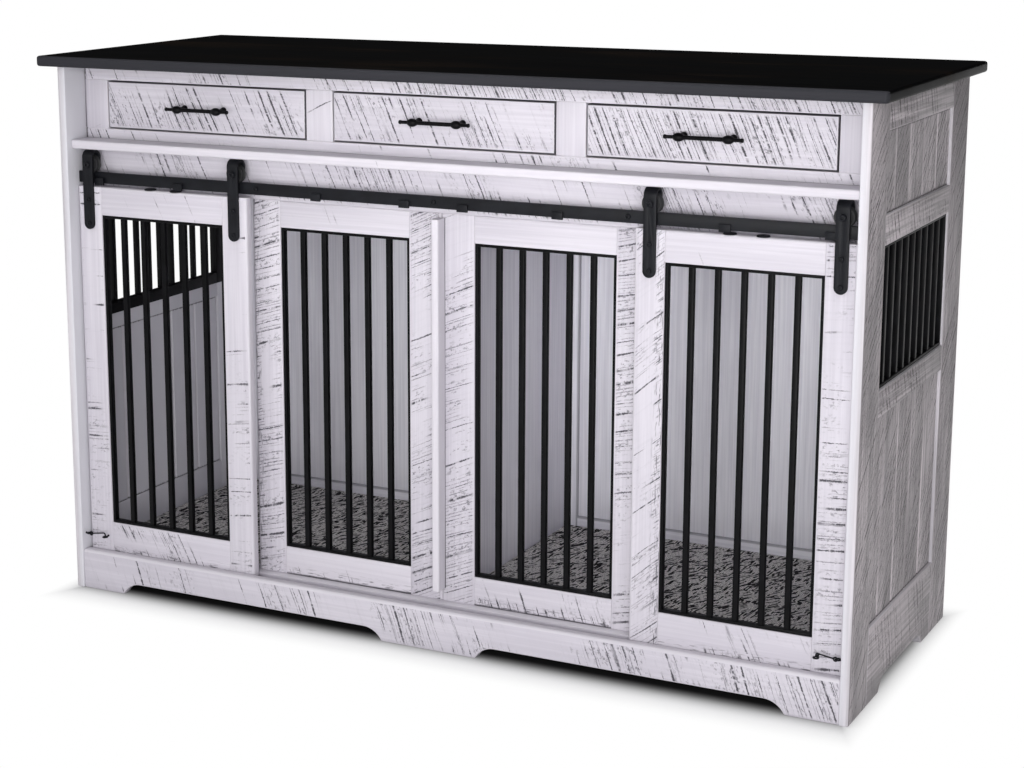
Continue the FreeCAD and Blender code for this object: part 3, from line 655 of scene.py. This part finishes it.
BARS = black_coat("black bar paint", (0.0012, 0.0012, 0.0016, 1), (0.0032, 0.0032, 0.0042, 1),
                  0.45, 700.0, 0.10)
NYLON = black_coat("black nylon", (0.014, 0.014, 0.015, 1), (0.022, 0.022, 0.024, 1), 0.58, 500.0)
WEAVE = flecked_weave("flecked mat weave")


# Wooden pieces

def swung(span, side):
    """A span of X on the right side, or its mirror on the left."""
    return span if side > 0 else (-span[1], -span[0])


def top():
    """The dark top, round at corners and edges."""
    slab = sawn((-TOP_HALF, TOP_HALF), (TOP_FRONT, BACK), (TOP_LOW, TOP_HIGH))
    half = (TOP_HIGH - TOP_LOW) / 2
    rounded(slab, 0.007, 6, lambda middle, ends: runs_along(ends, UP))
    rounded(slab, 0.005, 5, lambda middle, ends: abs(middle.z - TOP_LOW - half) > half - FLAT)
    # The front rim gets the painted sheen of the edges
    grain(slab, RIGHT, BACKWARD, worn_and_sheen_edge=-BACKWARD)
    fitted("dark_top", [slab], "top_slab", DARK)


def end_panel(side, word):
    """One end: stiles and rails, grooved boards and the arched bottom rail."""
    x = swung((END_IN, END_OUT), side)
    front, rear = WINDOW_FRONT, WINDOW_REAR
    out, inward = BACKWARD * side, -RIGHT * side
    parts = [upright_board(x, (FRONT, front), (0, TOP_LOW), 0.9, -0.9, 0.002, out, inward=inward),
             upright_board(x, (rear, BACK), (0, TOP_LOW), 0.9, -0.9, 0.002, out, inward=inward)]
    for low, high in ((BOARDS_HIGH, TOP_LOW), (WINDOW_HIGH, PANEL_HIGH), (PANEL_LOW, WINDOW_LOW)):
        parts.append(level_board(x, (front, rear), (low, high), 0.88, 0.4, 0.002, UP, out, inward=inward))
    fitted(word + "_end_stiles_rails", parts, word + "_end_frame", END_WHITE)
    boards = []
    shares = (0.148, 0.213, 0.213, 0.213, 0.213)
    for low, high in ((PANEL_HIGH, BOARDS_HIGH), (BOARDS_LOW, PANEL_LOW)):
        start = front
        for share in shares:
            stop = start + share * (rear - front)
            one = sawn(swung((0.7445, 0.7525), side), (start, stop), (low, high))
            rounded(one, 0.0036, 1, lambda middle, ends: runs_along(ends, UP))
            corners_cut(one, (-UP, UP))
            boards.append(grain(one, UP, out, -1.0, 0.94, inward=inward, grimed=(-UP, UP)))
            start = stop
    fitted(word + "_end_grooved_boards", boards, word + "_end_boards", END_WHITE)
    rail = grain(copied(word + "_end_bottom_rail", 0.002, 3), out, UP, 0.3, 0.76, inward=inward)
    fitted(word + "_end_arched_rail", [rail], word + "_end_bottom_rail", END_WHITE)


def front_boards():
    """Kickboard, sill, header, drawer frame, ledge and stop strip."""
    kick = grain(copied("kickboard", 0.0025, 3), RIGHT, UP, 0.36, 0.72, pitch=0.019)
    fitted("arched_kickboard", [kick], "kickboard", WHITE)
    across = (-END_IN, END_IN)
    sill = [level_board(across, (-0.260, FRAME_BACK), (0.048, 0.066), 0.2),
            level_board(across, (-0.2375, FRAME_BACK), (0.066, FENCE), 0.2)]
    fitted("grooved_sill", sill, "door_sill", WHITE)
    deep, ends = (FRAME_FRONT, FRAME_BACK), (RIGHT, -RIGHT)
    header = level_board(across, deep, (HEADER_LOW, HEADER_HIGH), 0.72, grimed=(RIGHT, -RIGHT, UP))
    fitted("track_header", [header], "header_board", WHITE)
    parts = [level_board(across, deep, (DRAWER_HIGH, TOP_LOW), 0.84, grimed=ends),
             level_board(across, deep, (HEADER_HIGH, DRAWER_LOW), 0.5, grimed=ends)]
    near, far = DRAWER_PITCH - DRAWER_OPENING, DRAWER_PITCH + DRAWER_OPENING
    for span, marks, corner in (((-END_IN, -far), 0.35, (-RIGHT,)), ((-near, -DRAWER_OPENING), 0.3, ()),
                                ((DRAWER_OPENING, near), 0.3, ()), ((far, END_IN), 0.4, (RIGHT,))):
        parts.append(upright_board(span, deep, (DRAWER_LOW, DRAWER_HIGH), marks, ease=0.0007, grimed=corner))
    fitted("drawer_frame_boards", parts, "drawer_face_frame", WHITE)
    ledge = sawn(across, (FRAME_FRONT - 0.050, FRAME_FRONT), (HEADER_HIGH, LEDGE_HIGH))
    rounded(ledge, 0.006, 5, lambda middle, ends: runs_along(ends, UP) and middle.y < FRAME_FRONT - 0.04)
    rounded(ledge, 0.0035, 4,
            lambda middle, ends: middle.y < FRAME_FRONT - 0.002 and not runs_along(ends, UP))
    corners_cut(ledge, (BACKWARD,))
    grain(ledge, RIGHT, UP, 0.33, 0.12, grimed=(BACKWARD,))
    fitted("ledge_moulding", [ledge], "ledge", WHITE)
    strip = sawn((-0.007, 0.007), (FRAME_FRONT - 0.027, FRAME_FRONT), (0.098, 0.758))
    rounded(strip, 0.0034, 4, lambda middle, ends: runs_along(ends, UP) and middle.y < FRAME_FRONT - 0.02)
    corners_cut(strip, (BACKWARD,))
    grain(strip, UP, -RIGHT, 0.33, 0.1, grimed=(BACKWARD,))
    fitted("middle_stop_strip", [strip], "stop_strip", WHITE)


def barred_frame(side, word, kind, body, x, y, z, stiles, rails, looks):
    """The two stiles and two rails of a door or a fixed panel. looks gives the marks of each board."""
    inner, outer = x[0] + stiles[0], x[1] - stiles[1]
    low, high = z[0] + rails[0], z[1] - rails[1]
    parts = [upright_board(swung((x[0], inner), side), y, z, wide=-RIGHT * side, **looks["inner"]),
             upright_board(swung((outer, x[1]), side), y, z, wide=RIGHT * side, **looks["outer"]),
             level_board(swung((inner, outer), side), y, (z[0], low), **looks["low"]),
             level_board(swung((inner, outer), side), y, (high, z[1]), wide=UP, **looks["high"])]
    fitted(f"{word}_{kind}_boards", parts, f"{word}_{kind}_frame", WHITE, body)


def drawer(word, x, marks):
    """A drawer front with rounded edges, and its box."""
    gap, half = 0.002, DRAWER_OPENING - 0.002
    front = sawn((x - half, x + half), (DRAWER_FRONT, DRAWER_REAR), (DRAWER_LOW + gap, DRAWER_HIGH - gap))
    rounded(front, 0.0035, 4, lambda middle, ends: middle.y < DRAWER_FRONT + 0.0001)
    # The front's sides and back get painted shade, which shows in the gap round it
    grain(front, RIGHT, UP, 0.45, marks, in_shade=lambda co: co.y > DRAWER_FRONT + 0.0008, pitch=0.0155)
    fitted(word + "_drawer_face", [front], word + "_drawer_front", WHITE, word + "_drawer")
    outer, inner = BOX_HALF, BOX_HALF - 0.012
    rear, tall = (0.225, 0.237), (0.884, 0.944)
    box = [level_board((x - outer, x - inner), (DRAWER_REAR, rear[1]), tall, along=BACKWARD),
           level_board((x + inner, x + outer), (DRAWER_REAR, rear[1]), tall, along=BACKWARD),
           level_board((x - inner, x + inner), rear, tall),
           level_board((x - inner, x + inner), (DRAWER_REAR, rear[0]), (0.889, 0.895), across=BACKWARD)]
    fitted(word + "_drawer_tray", box, word + "_drawer_box", INNER, word + "_drawer")


def inside():
    """Back wall, floor, ceiling, divider, cleats and drawer runners."""
    deep = (WALL, BACK)
    middle, side = 0.035, END_IN - 0.070
    low, high = 0.096, 0.843
    stiles = ((-END_IN, -side), (-middle, middle), (side, END_IN))
    bays = ((-side, -middle), (middle, side))
    parts = [upright_board(x, deep, (0, TOP_LOW), grimed=(RIGHT, -RIGHT)) for x in stiles]
    for x in bays:
        parts += [level_board(x, deep, z, grimed=(UP, -UP)) for z in ((BEARER_LOW, low), (high, TOP_LOW))]
    fitted("back_stiles_rails", parts, "back_frame", INNER)
    panels = [upright_board(x, (0.2915, 0.2995), (low, high)) for x in bays]
    fitted("back_wall_panels", panels, "back_panels", INNER)
    bay = (FRAME_BACK, WALL)
    across = (-END_IN, END_IN)
    deck = level_board(across, bay, (FLOOR_LOW, FENCE), across=BACKWARD)
    fitted("floor_boards", [deck], "floor_deck", INNER)
    ceiling = level_board(across, bay, (CEILING_LOW, LEDGE_HIGH), across=BACKWARD)
    fitted("ceiling_board", [ceiling], "kennel_ceiling", INNER)
    divider = upright_board((-0.009, 0.009), bay, (FENCE, CEILING_LOW), across=BACKWARD)
    fitted("bay_divider", [divider], "divider", INNER)
    thick = 0.020
    ends = ((-END_IN, thick - END_IN), (-thick / 2, thick / 2), (END_IN - thick, END_IN))
    tall = (BEARER_LOW, FLOOR_LOW)
    cleats = [level_board(x, (FRAME_BACK, WALL - thick), tall, along=BACKWARD) for x in ends]
    cleats.append(level_board(across, (WALL - thick, WALL), tall))
    fitted("floor_bearers", cleats, "floor_cleats", INNER)
    rails, shelf = [], 0.8837
    for x in (-DRAWER_PITCH, 0, DRAWER_PITCH):
        for side in (-1, 1):
            edge = x + side * BOX_HALF
            under = sorted((edge - side * 0.025, edge + side * 0.015))
            rails.append(level_board(under, bay, (shelf - 0.020, shelf), along=BACKWARD))
            beside = sorted((edge + side * 0.0005, edge + side * 0.0105))
            rails.append(level_board(beside, bay, (shelf, shelf + 0.015), along=BACKWARD))
    fitted("drawer_slides", rails, "drawer_runners", INNER)


# How each board is marked, and along which edges it gets painted shade. Inner is the stile nearer the middle
# of the cabinet.
FIXED_LOOKS = {
    "left": {"inner": {"marks": 0.86, "lean": 0.46, "worn_and_sheen_edge": RIGHT, "pitch": 0.022},
             "outer": {"marks": 0.80, "lean": 0.30, "worn_and_sheen_edge": -RIGHT, "pitch": 0.020},
             "low": {"marks": 0.50, "lean": 0.36, "worn_and_sheen_edge": -UP, "grimed": (-UP,)}, "high": {"marks": 0.2}},
    "right": {"inner": {"marks": 0.66, "lean": 0.40, "pitch": 0.034},
              "outer": {"marks": 0.82, "lean": 0.22, "pitch": 0.026},
              "low": {"marks": 0.50, "lean": 0.36, "worn_and_sheen_edge": -UP, "grimed": (-UP,)}, "high": {"marks": 0.3}}}
DOOR_LOOKS = {
    "left": {"inner": {"marks": 0.50, "lean": 0.10, "pitch": 0.034},
             "outer": {"marks": 0.56, "lean": 0.06, "pitch": 0.026},
             "low": {"marks": 0.50, "lean": 0.5, "worn_and_sheen_edge": -UP}, "high": {"marks": 0.3}},
    "right": {"inner": {"marks": 0.66, "lean": 0.80, "worn_and_sheen_edge": RIGHT, "pitch": 0.034},
              "outer": {"marks": 0.66, "lean": 0.05, "pitch": 0.022},
              "low": {"marks": 0.46, "lean": 0.45, "worn_and_sheen_edge": -UP}, "high": {"marks": 0.25}}}
top()
front_boards()
for side, word in ((-1, "left"), (1, "right")):
    end_panel(side, word)
    barred_frame(side, word, "fixed", "carcass", FIXED_X, (FRAME_FRONT, FRAME_BACK), FIXED_Z,
                 FIXED_STILES, FIXED_RAILS, FIXED_LOOKS[word])
    barred_frame(side, word, "door", word + "_door", DOOR_X, (DOOR_FRONT, DOOR_BACK), DOOR_Z,
                 DOOR_STILES, DOOR_RAILS, DOOR_LOOKS[word])
for word, x, marks in (("left", -DRAWER_PITCH, 0.64), ("middle", 0, 0.82), ("right", DRAWER_PITCH, 0.92)):
    drawer(word, x, marks)
inside()


# Mats

MAT_X, MAT_Y = (0.015, 0.7355), (-0.196, 0.280)
MAT_THICK, HEM = 0.0038, 0.014
RISES, RISE_IN = 7, 0.08


def soft_rise(piece, place, height, reach):
    """Lift a mat softly round a place."""
    pick(piece, lambda middle, points: (middle - place).xy.length < 0.012, "FACE")
    bpy.ops.transform.translate(value=(0, 0, height), use_proportional_edit=True,
                                proportional_edit_falloff="SMOOTH", proportional_size=reach)
    object_mode()


def mat(side, word):
    """A woven mat that lies on the floor: not quite flat, with a turned hem."""
    x = swung(MAT_X, side)
    size = (x[1] - x[0], MAT_Y[1] - MAT_Y[0])
    middle = ((x[0] + x[1]) / 2, sum(MAT_Y) / 2, FENCE + 0.0002)
    nothing_selected()
    bpy.ops.mesh.primitive_grid_add(x_subdivisions=60, y_subdivisions=40, size=1, location=middle)
    bpy.context.object.scale = (size[0], size[1], 1)
    cloth = in_place()
    thick = cloth.modifiers.new("thick", "SOLIDIFY")
    thick.thickness = MAT_THICK
    thick.offset = 1
    bpy.ops.object.modifier_apply(modifier="thick")
    high = FENCE + MAT_THICK

    def in_hem(spot, points):
        near = min(spot.x - x[0], x[1] - spot.x, spot.y - MAT_Y[0], MAT_Y[1] - spot.y)
        return spot.z > high - 0.0002 and near < HEM
    pick(cloth, in_hem, "FACE")
    bpy.ops.mesh.extrude_region_move(TRANSFORM_OT_translate={"value": (0, 0, 0.0007)})
    object_mode()
    crisp(cloth, 0.0003)
    for _ in range(RISES):
        across = chance.uniform(x[0] + RISE_IN, x[1] - RISE_IN)
        back = chance.uniform(MAT_Y[0] + RISE_IN, MAT_Y[1] - RISE_IN)
        soft_rise(cloth, Vector((across, back, 0)), chance.uniform(0.0003, 0.0009), 0.09)
    fitted(word + "_bay_mat", [cloth], word + "_floor_mat", WEAVE)


mat(-1, "left")
mat(1, "right")


# Steel pieces

TRACK_FRONT, TRACK_REAR = -0.251, -0.246
STRAP_FRONT, STRAP_REAR = -0.262, -0.235
WHEEL_UP, LATCH_UP, KEEPER_UP = 0.8128, 0.106, 0.1031
LATCH_FRONT = -0.269
PIVOT, EYE, KEEPER = 0.7293, 0.7335, 0.6973
HANGERS, DISCS = (0.396, 0.712), (0.5820, 0.5268)
WIRE, RING = 0.0013, 0.0042
BAR, RIM, RIM_DEEP = 0.0094, 0.0055, 0.012


def steel_bar(x, y, z, ease=0.0008):
    """A flat or square bar with eased edges."""
    return crisp(sawn(x, y, z), ease)


def window_bars(place, width, height, count):
    """A welded window: a thin frame and square bars.

    place(u, v, deep) gives the bar that fills two spans and a depth."""
    across, up = (RIM, width - RIM), (RIM, height - RIM)
    parts = [place((0, RIM), (0, height), RIM_DEEP), place((width - RIM, width), (0, height), RIM_DEEP),
             place(across, (0, RIM), RIM_DEEP), place(across, (height - RIM, height), RIM_DEEP)]
    pitch = width / (count + 1)
    for number in range(1, count + 1):
        parts.append(place((pitch * number - BAR / 2, pitch * number + BAR / 2), up, BAR))
    return parts


def front_window(side, x, z, stiles, rails, face):
    """The bars of a door or a fixed panel, just behind its face."""
    middle = face + 0.008
    left, right = swung((x[0] + stiles[0], x[1] - stiles[1]), side)
    low, high = z[0] + rails[0], z[1] - rails[1]

    def place(u, v, deep):
        return steel_bar((left + u[0], left + u[1]), (middle - deep / 2, middle + deep / 2),
                         (low + v[0], low + v[1]))
    return window_bars(place, right - left, high - low, 5)


def end_window(side):
    """The bars of an end's window, with a flange inside."""
    middle = END_IN + 0.006
    z = (WINDOW_LOW, WINDOW_HIGH)

    def place(u, v, deep):
        return steel_bar(swung((middle - deep / 2, middle + deep / 2), side),
                         (WINDOW_FRONT + u[0], WINDOW_FRONT + u[1]), (z[0] + v[0], z[0] + v[1]))
    parts = window_bars(place, WINDOW_REAR - WINDOW_FRONT, z[1] - z[0], 9)
    flange = swung((END_IN - 0.003, END_IN), side)
    out = 0.016
    tall = (z[0] - out, z[1] + out)
    for y in ((WINDOW_FRONT - out, WINDOW_FRONT + RIM), (WINDOW_REAR - RIM, WINDOW_REAR + out)):
        parts.append(steel_bar(flange, y, tall))
    for level in ((z[0] - out, z[0] + RIM), (z[1] - RIM, z[1] + out)):
        parts.append(steel_bar(flange, (WINDOW_FRONT + RIM, WINDOW_REAR - RIM), level))
    return parts


def button_bolt(x, face, z, size, height, shank, tip):
    """A round-headed bolt with a socket, its head in front of a face and its shank behind it."""
    head = [(0.40, 0), (0.40, 0.40), (0.94, 0.43), (1, 0.50), (0.92, 0.72), (0.70, 0.90),
            (0.38, 0.98), (0, 1)]
    profile = [(face - high * height, out * size) for high, out in head]
    profile += [(face, shank), (tip, shank), (tip, 0)]
    return spun([(x, y, z + out) for y, out in profile], (x, 0, z), BACKWARD, 24)


def nut(x, y, z, size, deep):
    """A hexagon nut with its corners eased."""
    nothing_selected()
    bpy.ops.mesh.primitive_cylinder_add(vertices=6, radius=size, depth=deep, location=(x, y + deep / 2, z),
                                        rotation=(math.pi / 2, 0, 0))
    return crisp(in_place(), 0.0005)


def hanger_fixings():
    """The right door's axle bolts with their nuts, and the screws through its hangers."""
    axle = button_bolt(HANGERS[0], STRAP_FRONT, WHEEL_UP, 0.006, 0.004, 0.003, STRAP_REAR)
    back = nut(HANGERS[0], STRAP_REAR, WHEEL_UP, 0.0055, 0.005)
    low = DOOR_HIGH - 0.079 + 0.011
    screw = button_bolt(HANGERS[0], STRAP_FRONT, low, 0.0045, 0.0025, 0.0025, DOOR_FRONT + 0.012)
    both = echoed(screw, [UP * (DOOR_HIGH - 0.024 - low)])
    step = RIGHT * (HANGERS[1] - HANGERS[0])
    return [copy for part in [axle, back] + both for copy in echoed(part, [step])]


def wheel(x):
    """A grooved wheel with sunk sides and a hub."""
    half = [(0.0090, 0.00305), (0.0090, 0.0055), (0.0086, 0.0060), (0.0060, 0.0060), (0.0046, 0.0070),
            (0.0046, 0.0126), (0.0060, 0.0138), (0.0060, 0.0165), (0.0055, 0.0170), (0.0042, 0.0170),
            (0.0039, 0.0166), (0.0030, 0.0137), (0.0027, 0.0135)]
    profile = half + [(-y, out) for y, out in reversed(half)] + half[:1]
    points = [(x, DOOR_MIDDLE + y, WHEEL_UP + out) for y, out in profile]
    return spun(points, (x, 0, WHEEL_UP), BACKWARD, 48)


def jump_disc(x):
    """A flat disc with a rounded rim and a sunk screw."""
    profile = [(0, 0), (0.0109, 0), (0.0110, 0.0008), (0.0107, 0.0020), (0.0098, 0.0026), (0.0042, 0.0026),
               (0.0034, 0.0019), (0.0014, 0.0019), (0.0012, 0.0009), (0, 0.0009)]
    points = [(x + out, DOOR_MIDDLE, DOOR_HIGH + up) for out, up in profile]
    return spun(points, (x, DOOR_MIDDLE, 0), UP, 32)


def track():
    """The track, its bolts and tubes, and the small blocks on its face."""
    middle = (TRACK_LOW + TRACK_HIGH) / 2
    bar = steel_bar((-0.7395, 0.7395), (TRACK_FRONT, TRACK_REAR), (TRACK_LOW, TRACK_HIGH), 0.0007)
    fitted("flat_track", [bar], "track_rail", STEEL)
    first, gap = -0.7085, 0.35425
    steps = [RIGHT * gap * number for number in range(1, 5)]
    bolt = button_bolt(first, TRACK_FRONT, middle, 0.005, 0.003, 0.003, FRAME_FRONT + 0.015)
    hole, wall = 0.0031, 0.006
    profile = [(TRACK_REAR, hole), (TRACK_REAR, 0.0056), (TRACK_REAR + 0.0004, wall), (FRAME_FRONT, wall),
               (FRAME_FRONT, hole), (TRACK_REAR, hole)]
    tube = spun([(first, y, middle + out) for y, out in profile], (first, 0, middle), BACKWARD, 24)
    fixings = echoed(bolt, steps) + echoed(tube, steps)
    fitted("track_bolts_tubes", fixings, "track_standoffs", STEEL)
    blocks = []
    for x in (0.0556, 0.2303, 0.5195, 0.6925):
        block = steel_bar((x - 0.010, x + 0.010), (TRACK_FRONT - 0.004, TRACK_FRONT), (0.7752, 0.7882))
        blocks += [block, mirrored(block)]
    fitted("track_blocks", blocks, "track_stop_blocks", STEEL)


def pull(x):
    """A bar pull: turned ends and collars, and a post with a foot behind each collar."""
    post, out, up = 0.0415, -0.248, 0.9205
    collar = [(-0.0088, 0.0035), (-0.0080, 0.0047), (-0.0064, 0.0052), (-0.0055, 0.0060), (-0.0026, 0.0069),
              (0, 0.0071), (0.0026, 0.0069), (0.0055, 0.0060), (0.0064, 0.0050), (0.0080, 0.0045),
              (0.0088, 0.0030)]
    tip = [(0.0205, 0.0029), (0.0213, 0.0035), (0.0240, 0.0035), (0.0250, 0.0028), (0.0250, 0)]
    half = [(0, 0.0035)] + [(post + along, r) for along, r in collar + tip]
    profile = [(-along, r) for along, r in reversed(half)] + half[1:]
    bar = spun([(x + along, out, up + r) for along, r in profile], (0, out, up), RIGHT, 24)
    stem = [(out, 0), (out, 0.0040), (-0.2282, 0.0038), (-0.2268, 0.0044), (-0.2252, 0.0056),
            (-0.2238, 0.0060), (DRAWER_FRONT, 0.0060), (DRAWER_FRONT, 0)]
    foot = spun([(x - post, y, up + r) for y, r in stem], (x - post, 0, up), BACKWARD, 24)
    return [bar] + echoed(foot, [RIGHT * 2 * post])


def wire_ring(place, size, axis):
    """A ring of wire. Its hole faces along an axis."""
    nothing_selected()
    turn = axis.to_track_quat("Z", "Y").to_euler()
    bpy.ops.mesh.primitive_torus_add(location=place, rotation=turn, major_segments=32, minor_segments=12,
                                     major_radius=size, minor_radius=WIRE)
    return in_place()


def screw_eye(place, way, length):
    """A ring on a short neck that ends in a small flange."""
    place = Vector(place)
    side = UP if abs(way.z) < 0.5 else RIGHT
    far = RING + length
    profile = [(RING - 0.0004, 0), (RING - 0.0004, WIRE), (far - 0.0012, WIRE), (far - 0.0009, 0.0021),
               (far, 0.0021), (far, 0)]
    neck = spun([place + way * along + side * out for along, out in profile], place, way, 16)
    return [wire_ring(place, RING, UP), neck]


def hook():
    """The right hook: a loop, a straight arm and a bent tip of one wire, lifted a little."""
    loop, arm, drop, bend = 0.0031, 0.032, 0.006, 0.0026
    nothing_selected()
    middle = (-(loop + arm - bend) / 2, 0, 0)
    bpy.ops.mesh.primitive_cylinder_add(vertices=12, radius=WIRE, depth=arm - bend - loop,
                                        location=middle, rotation=(0, math.pi / 2, 0))
    wire = in_place()
    pick(wire, lambda middle, points: middle.x < -(arm - bend) + FLAT, "FACE")
    bpy.ops.mesh.spin(steps=6, angle=math.pi / 2, center=(-(arm - bend), 0, -bend), axis=BACKWARD)
    bpy.ops.mesh.extrude_region_move(TRANSFORM_OT_translate={"value": (0, 0, -(drop - bend))})
    bpy.ops.mesh.bevel(offset=0.0005, offset_type="OFFSET", segments=2, affect="EDGES", clamp_overlap=True)
    turned_out()
    whole = joined("hook", [wire, wire_ring((0, 0, 0), loop, BACKWARD)])
    whole.rotation_euler = (0, math.radians(9), 0)
    whole.location = (PIVOT, LATCH_FRONT, LATCH_UP)
    only(whole)
    return in_place()


def both_sides(name, node, body, parts, finish=STEEL):
    """Fit a right-hand piece and its mirror. {} stands for the side."""
    whole = joined("right half", parts)
    other = mirrored(whole)
    for word, piece in (("right", whole), ("left", other)):
        fitted(name.format(word), [piece], node.format(word), finish, body.format(word))


for side, word in ((-1, "left"), (1, "right")):
    fixed = front_window(side, FIXED_X, FIXED_Z, FIXED_STILES, FIXED_RAILS, FRAME_FRONT)
    fitted(word + "_fixed_bars", fixed, word + "_fixed_grille", BARS)
    door = front_window(side, DOOR_X, DOOR_Z, DOOR_STILES, DOOR_RAILS, DOOR_FRONT)
    fitted(word + "_door_bars", door, word + "_door_grille", BARS, word + "_door")
    fitted(word + "_end_bars", end_window(side), word + "_end_grille", BARS)
    straps = copied(word + "_door_hangers", 0.0006, 2)
    fitted(word + "_hanger_straps", [straps], word + "_door_hangers", STEEL, word + "_door")
track()
both_sides("{}_hanger_fixings", "{}_hanger_bolts", "{}_door", hanger_fixings())
both_sides("{}_inner_grooved_wheel", "{}_inner_wheel", "{}_inner_wheel_body", [wheel(HANGERS[0])], NYLON)
both_sides("{}_outer_grooved_wheel", "{}_outer_wheel", "{}_outer_wheel_body", [wheel(HANGERS[1])], NYLON)
both_sides("{}_jump_discs", "{}_anti_jump_discs", "{}_door", [jump_disc(x) for x in DISCS])
door_eye = screw_eye((KEEPER, LATCH_FRONT, KEEPER_UP), BACKWARD, 0.0068)
both_sides("{}_door_eye", "{}_keeper_eye", "{}_door", door_eye)
both_sides("{}_latch_hook", "{}_hook", "{}_hook_body", [hook()])
eye = joined("right eye", screw_eye((EYE, LATCH_FRONT, LATCH_UP), RIGHT, 0.0038))
fitted("latch_eyes", [eye, mirrored(eye)], "hook_pivot_eyes", STEEL)
for word, x in (("left", -DRAWER_PITCH), ("middle", 0), ("right", DRAWER_PITCH)):
    fitted(word + "_bar_pull", pull(x), word + "_drawer_pull", BARS, word + "_drawer")


# Stage, light and camera

# The picture's size, the camera's distance to it and the point that it looks straight at, in pixels
PICTURE, CAMERA_REACH, CAMERA_AIM = (1024, 768), 2119.2, (418.16, 342.16)


def pale_floor():
    """A white floor that keeps the shadow, and a painted shadow under and close round the cabinet."""
    nothing_selected()
    bpy.ops.mesh.primitive_plane_add(size=80, location=(0, 0, 0))
    floor = bpy.context.object
    floor.name = "floor"
    made, tree, shader = new_finish("pale floor")
    feed(shader, "Roughness", 0.9)
    feed(shader, "Specular IOR Level", 0.0)
    place = put(tree, "TexCoord").outputs["Object"]
    split = put(tree, "SeparateXYZ", Vector=place).outputs
    beside = minus(sums("ABSOLUTE", split["X"]), END_OUT)
    # The shadow, painted and kept, fades in half the distance beside the ends
    beside = times(beside, 2.0)
    before = minus(sums("ABSOLUTE", split["Y"]), BACK)
    away = sums("MAXIMUM", beside, before)
    share = step_between(away, -0.06, 0.07)
    # Painted shadow: the floor's colour goes near black under the cabinet and just round it
    under = step_between(away, 0.02, -0.06)
    colour = blended(under, (0.86, 0.86, 0.87, 1), (0.03, 0.03, 0.03, 1))
    feed(shader, "Base Color", colour)
    path = put(tree, "LightPath").outputs
    seen = sums("MAXIMUM", sums("MAXIMUM", path["Is Camera Ray"], path["Is Glossy Ray"]),
                path["Is Transmission Ray"])
    glow = put(tree, "Emission", Color=(1, 1, 1, 1), Strength=1.0)
    mix = tree.nodes.new("ShaderNodeMixShader")
    feed(mix, 0, times(share, seen))
    feed(mix, 1, shader.outputs[0])
    feed(mix, 2, glow.outputs[0])
    feed(tree.nodes["Material Output"], "Surface", mix.outputs[0])
    floor.data.materials.append(made)


def white_room():
    """A white surround that lights the object only a little."""
    world = bpy.data.worlds.new("white room")
    bpy.context.scene.world = world
    world.use_nodes = True
    tree = world.node_tree
    path = put(tree, "LightPath").outputs
    seen = sums("MAXIMUM", path["Is Camera Ray"], path["Is Transmission Ray"])
    background = tree.nodes["Background"]
    feed(background, "Color", (1, 1, 1, 1))
    dim = scaled(path["Is Glossy Ray"], -0.14, 0.16)
    feed(background, "Strength", scaled(seen, 0.84, dim))


def lamp(name, place, target, size, power, spread=180):
    """A soft square lamp that points at a target. A small spread, in degrees, keeps its light together."""
    light = bpy.data.lights.new(name, "AREA")
    light.size = size
    light.energy = power
    light.spread = math.radians(spread)
    made = bpy.data.objects.new(name, light)
    made.location = place
    made.rotation_euler = (Vector(target) - Vector(place)).to_track_quat("-Z", "Y").to_euler()
    bpy.context.scene.collection.objects.link(made)


def camera():
    """The camera at the photograph's place."""
    made = bpy.data.objects.new("camera", bpy.data.cameras.new("camera"))
    made.location = (1.6514, -3.3886, 1.3135)
    made.rotation_euler = [math.radians(a) for a in (77.801, 0.260, 28.132)]
    made.data.sensor_width = 36.0
    made.data.lens = CAMERA_REACH / PICTURE[0] * made.data.sensor_width
    made.data.shift_x = (PICTURE[0] / 2 - CAMERA_AIM[0]) / PICTURE[0]
    made.data.shift_y = (CAMERA_AIM[1] - PICTURE[1] / 2) / PICTURE[0]
    made.data.clip_end = 200.0
    bpy.context.scene.collection.objects.link(made)
    bpy.context.scene.camera = made


pale_floor()
white_room()
lamp("key", (-2.4, -3.4, 2.4), (0, 0, 0.5), 1.6, 34)
lamp("front", (2.35, -4.1, 1.0), (0.2, 0, 0.5), 2.6, 110)
lamp("low", (0.7, -4.2, 0.3), (0.2, 0, 0.36), 1.4, 66)
lamp("upper", (0.7, -3.6, 1.25), (0.1, 0, 1.12), 1.0, 1.45, 26)
lamp("overhead", (0, -0.6, 4.5), (0, -0.2, 0), 4.5, 90)
camera()
bpy.context.scene.view_settings.view_transform = "Standard"
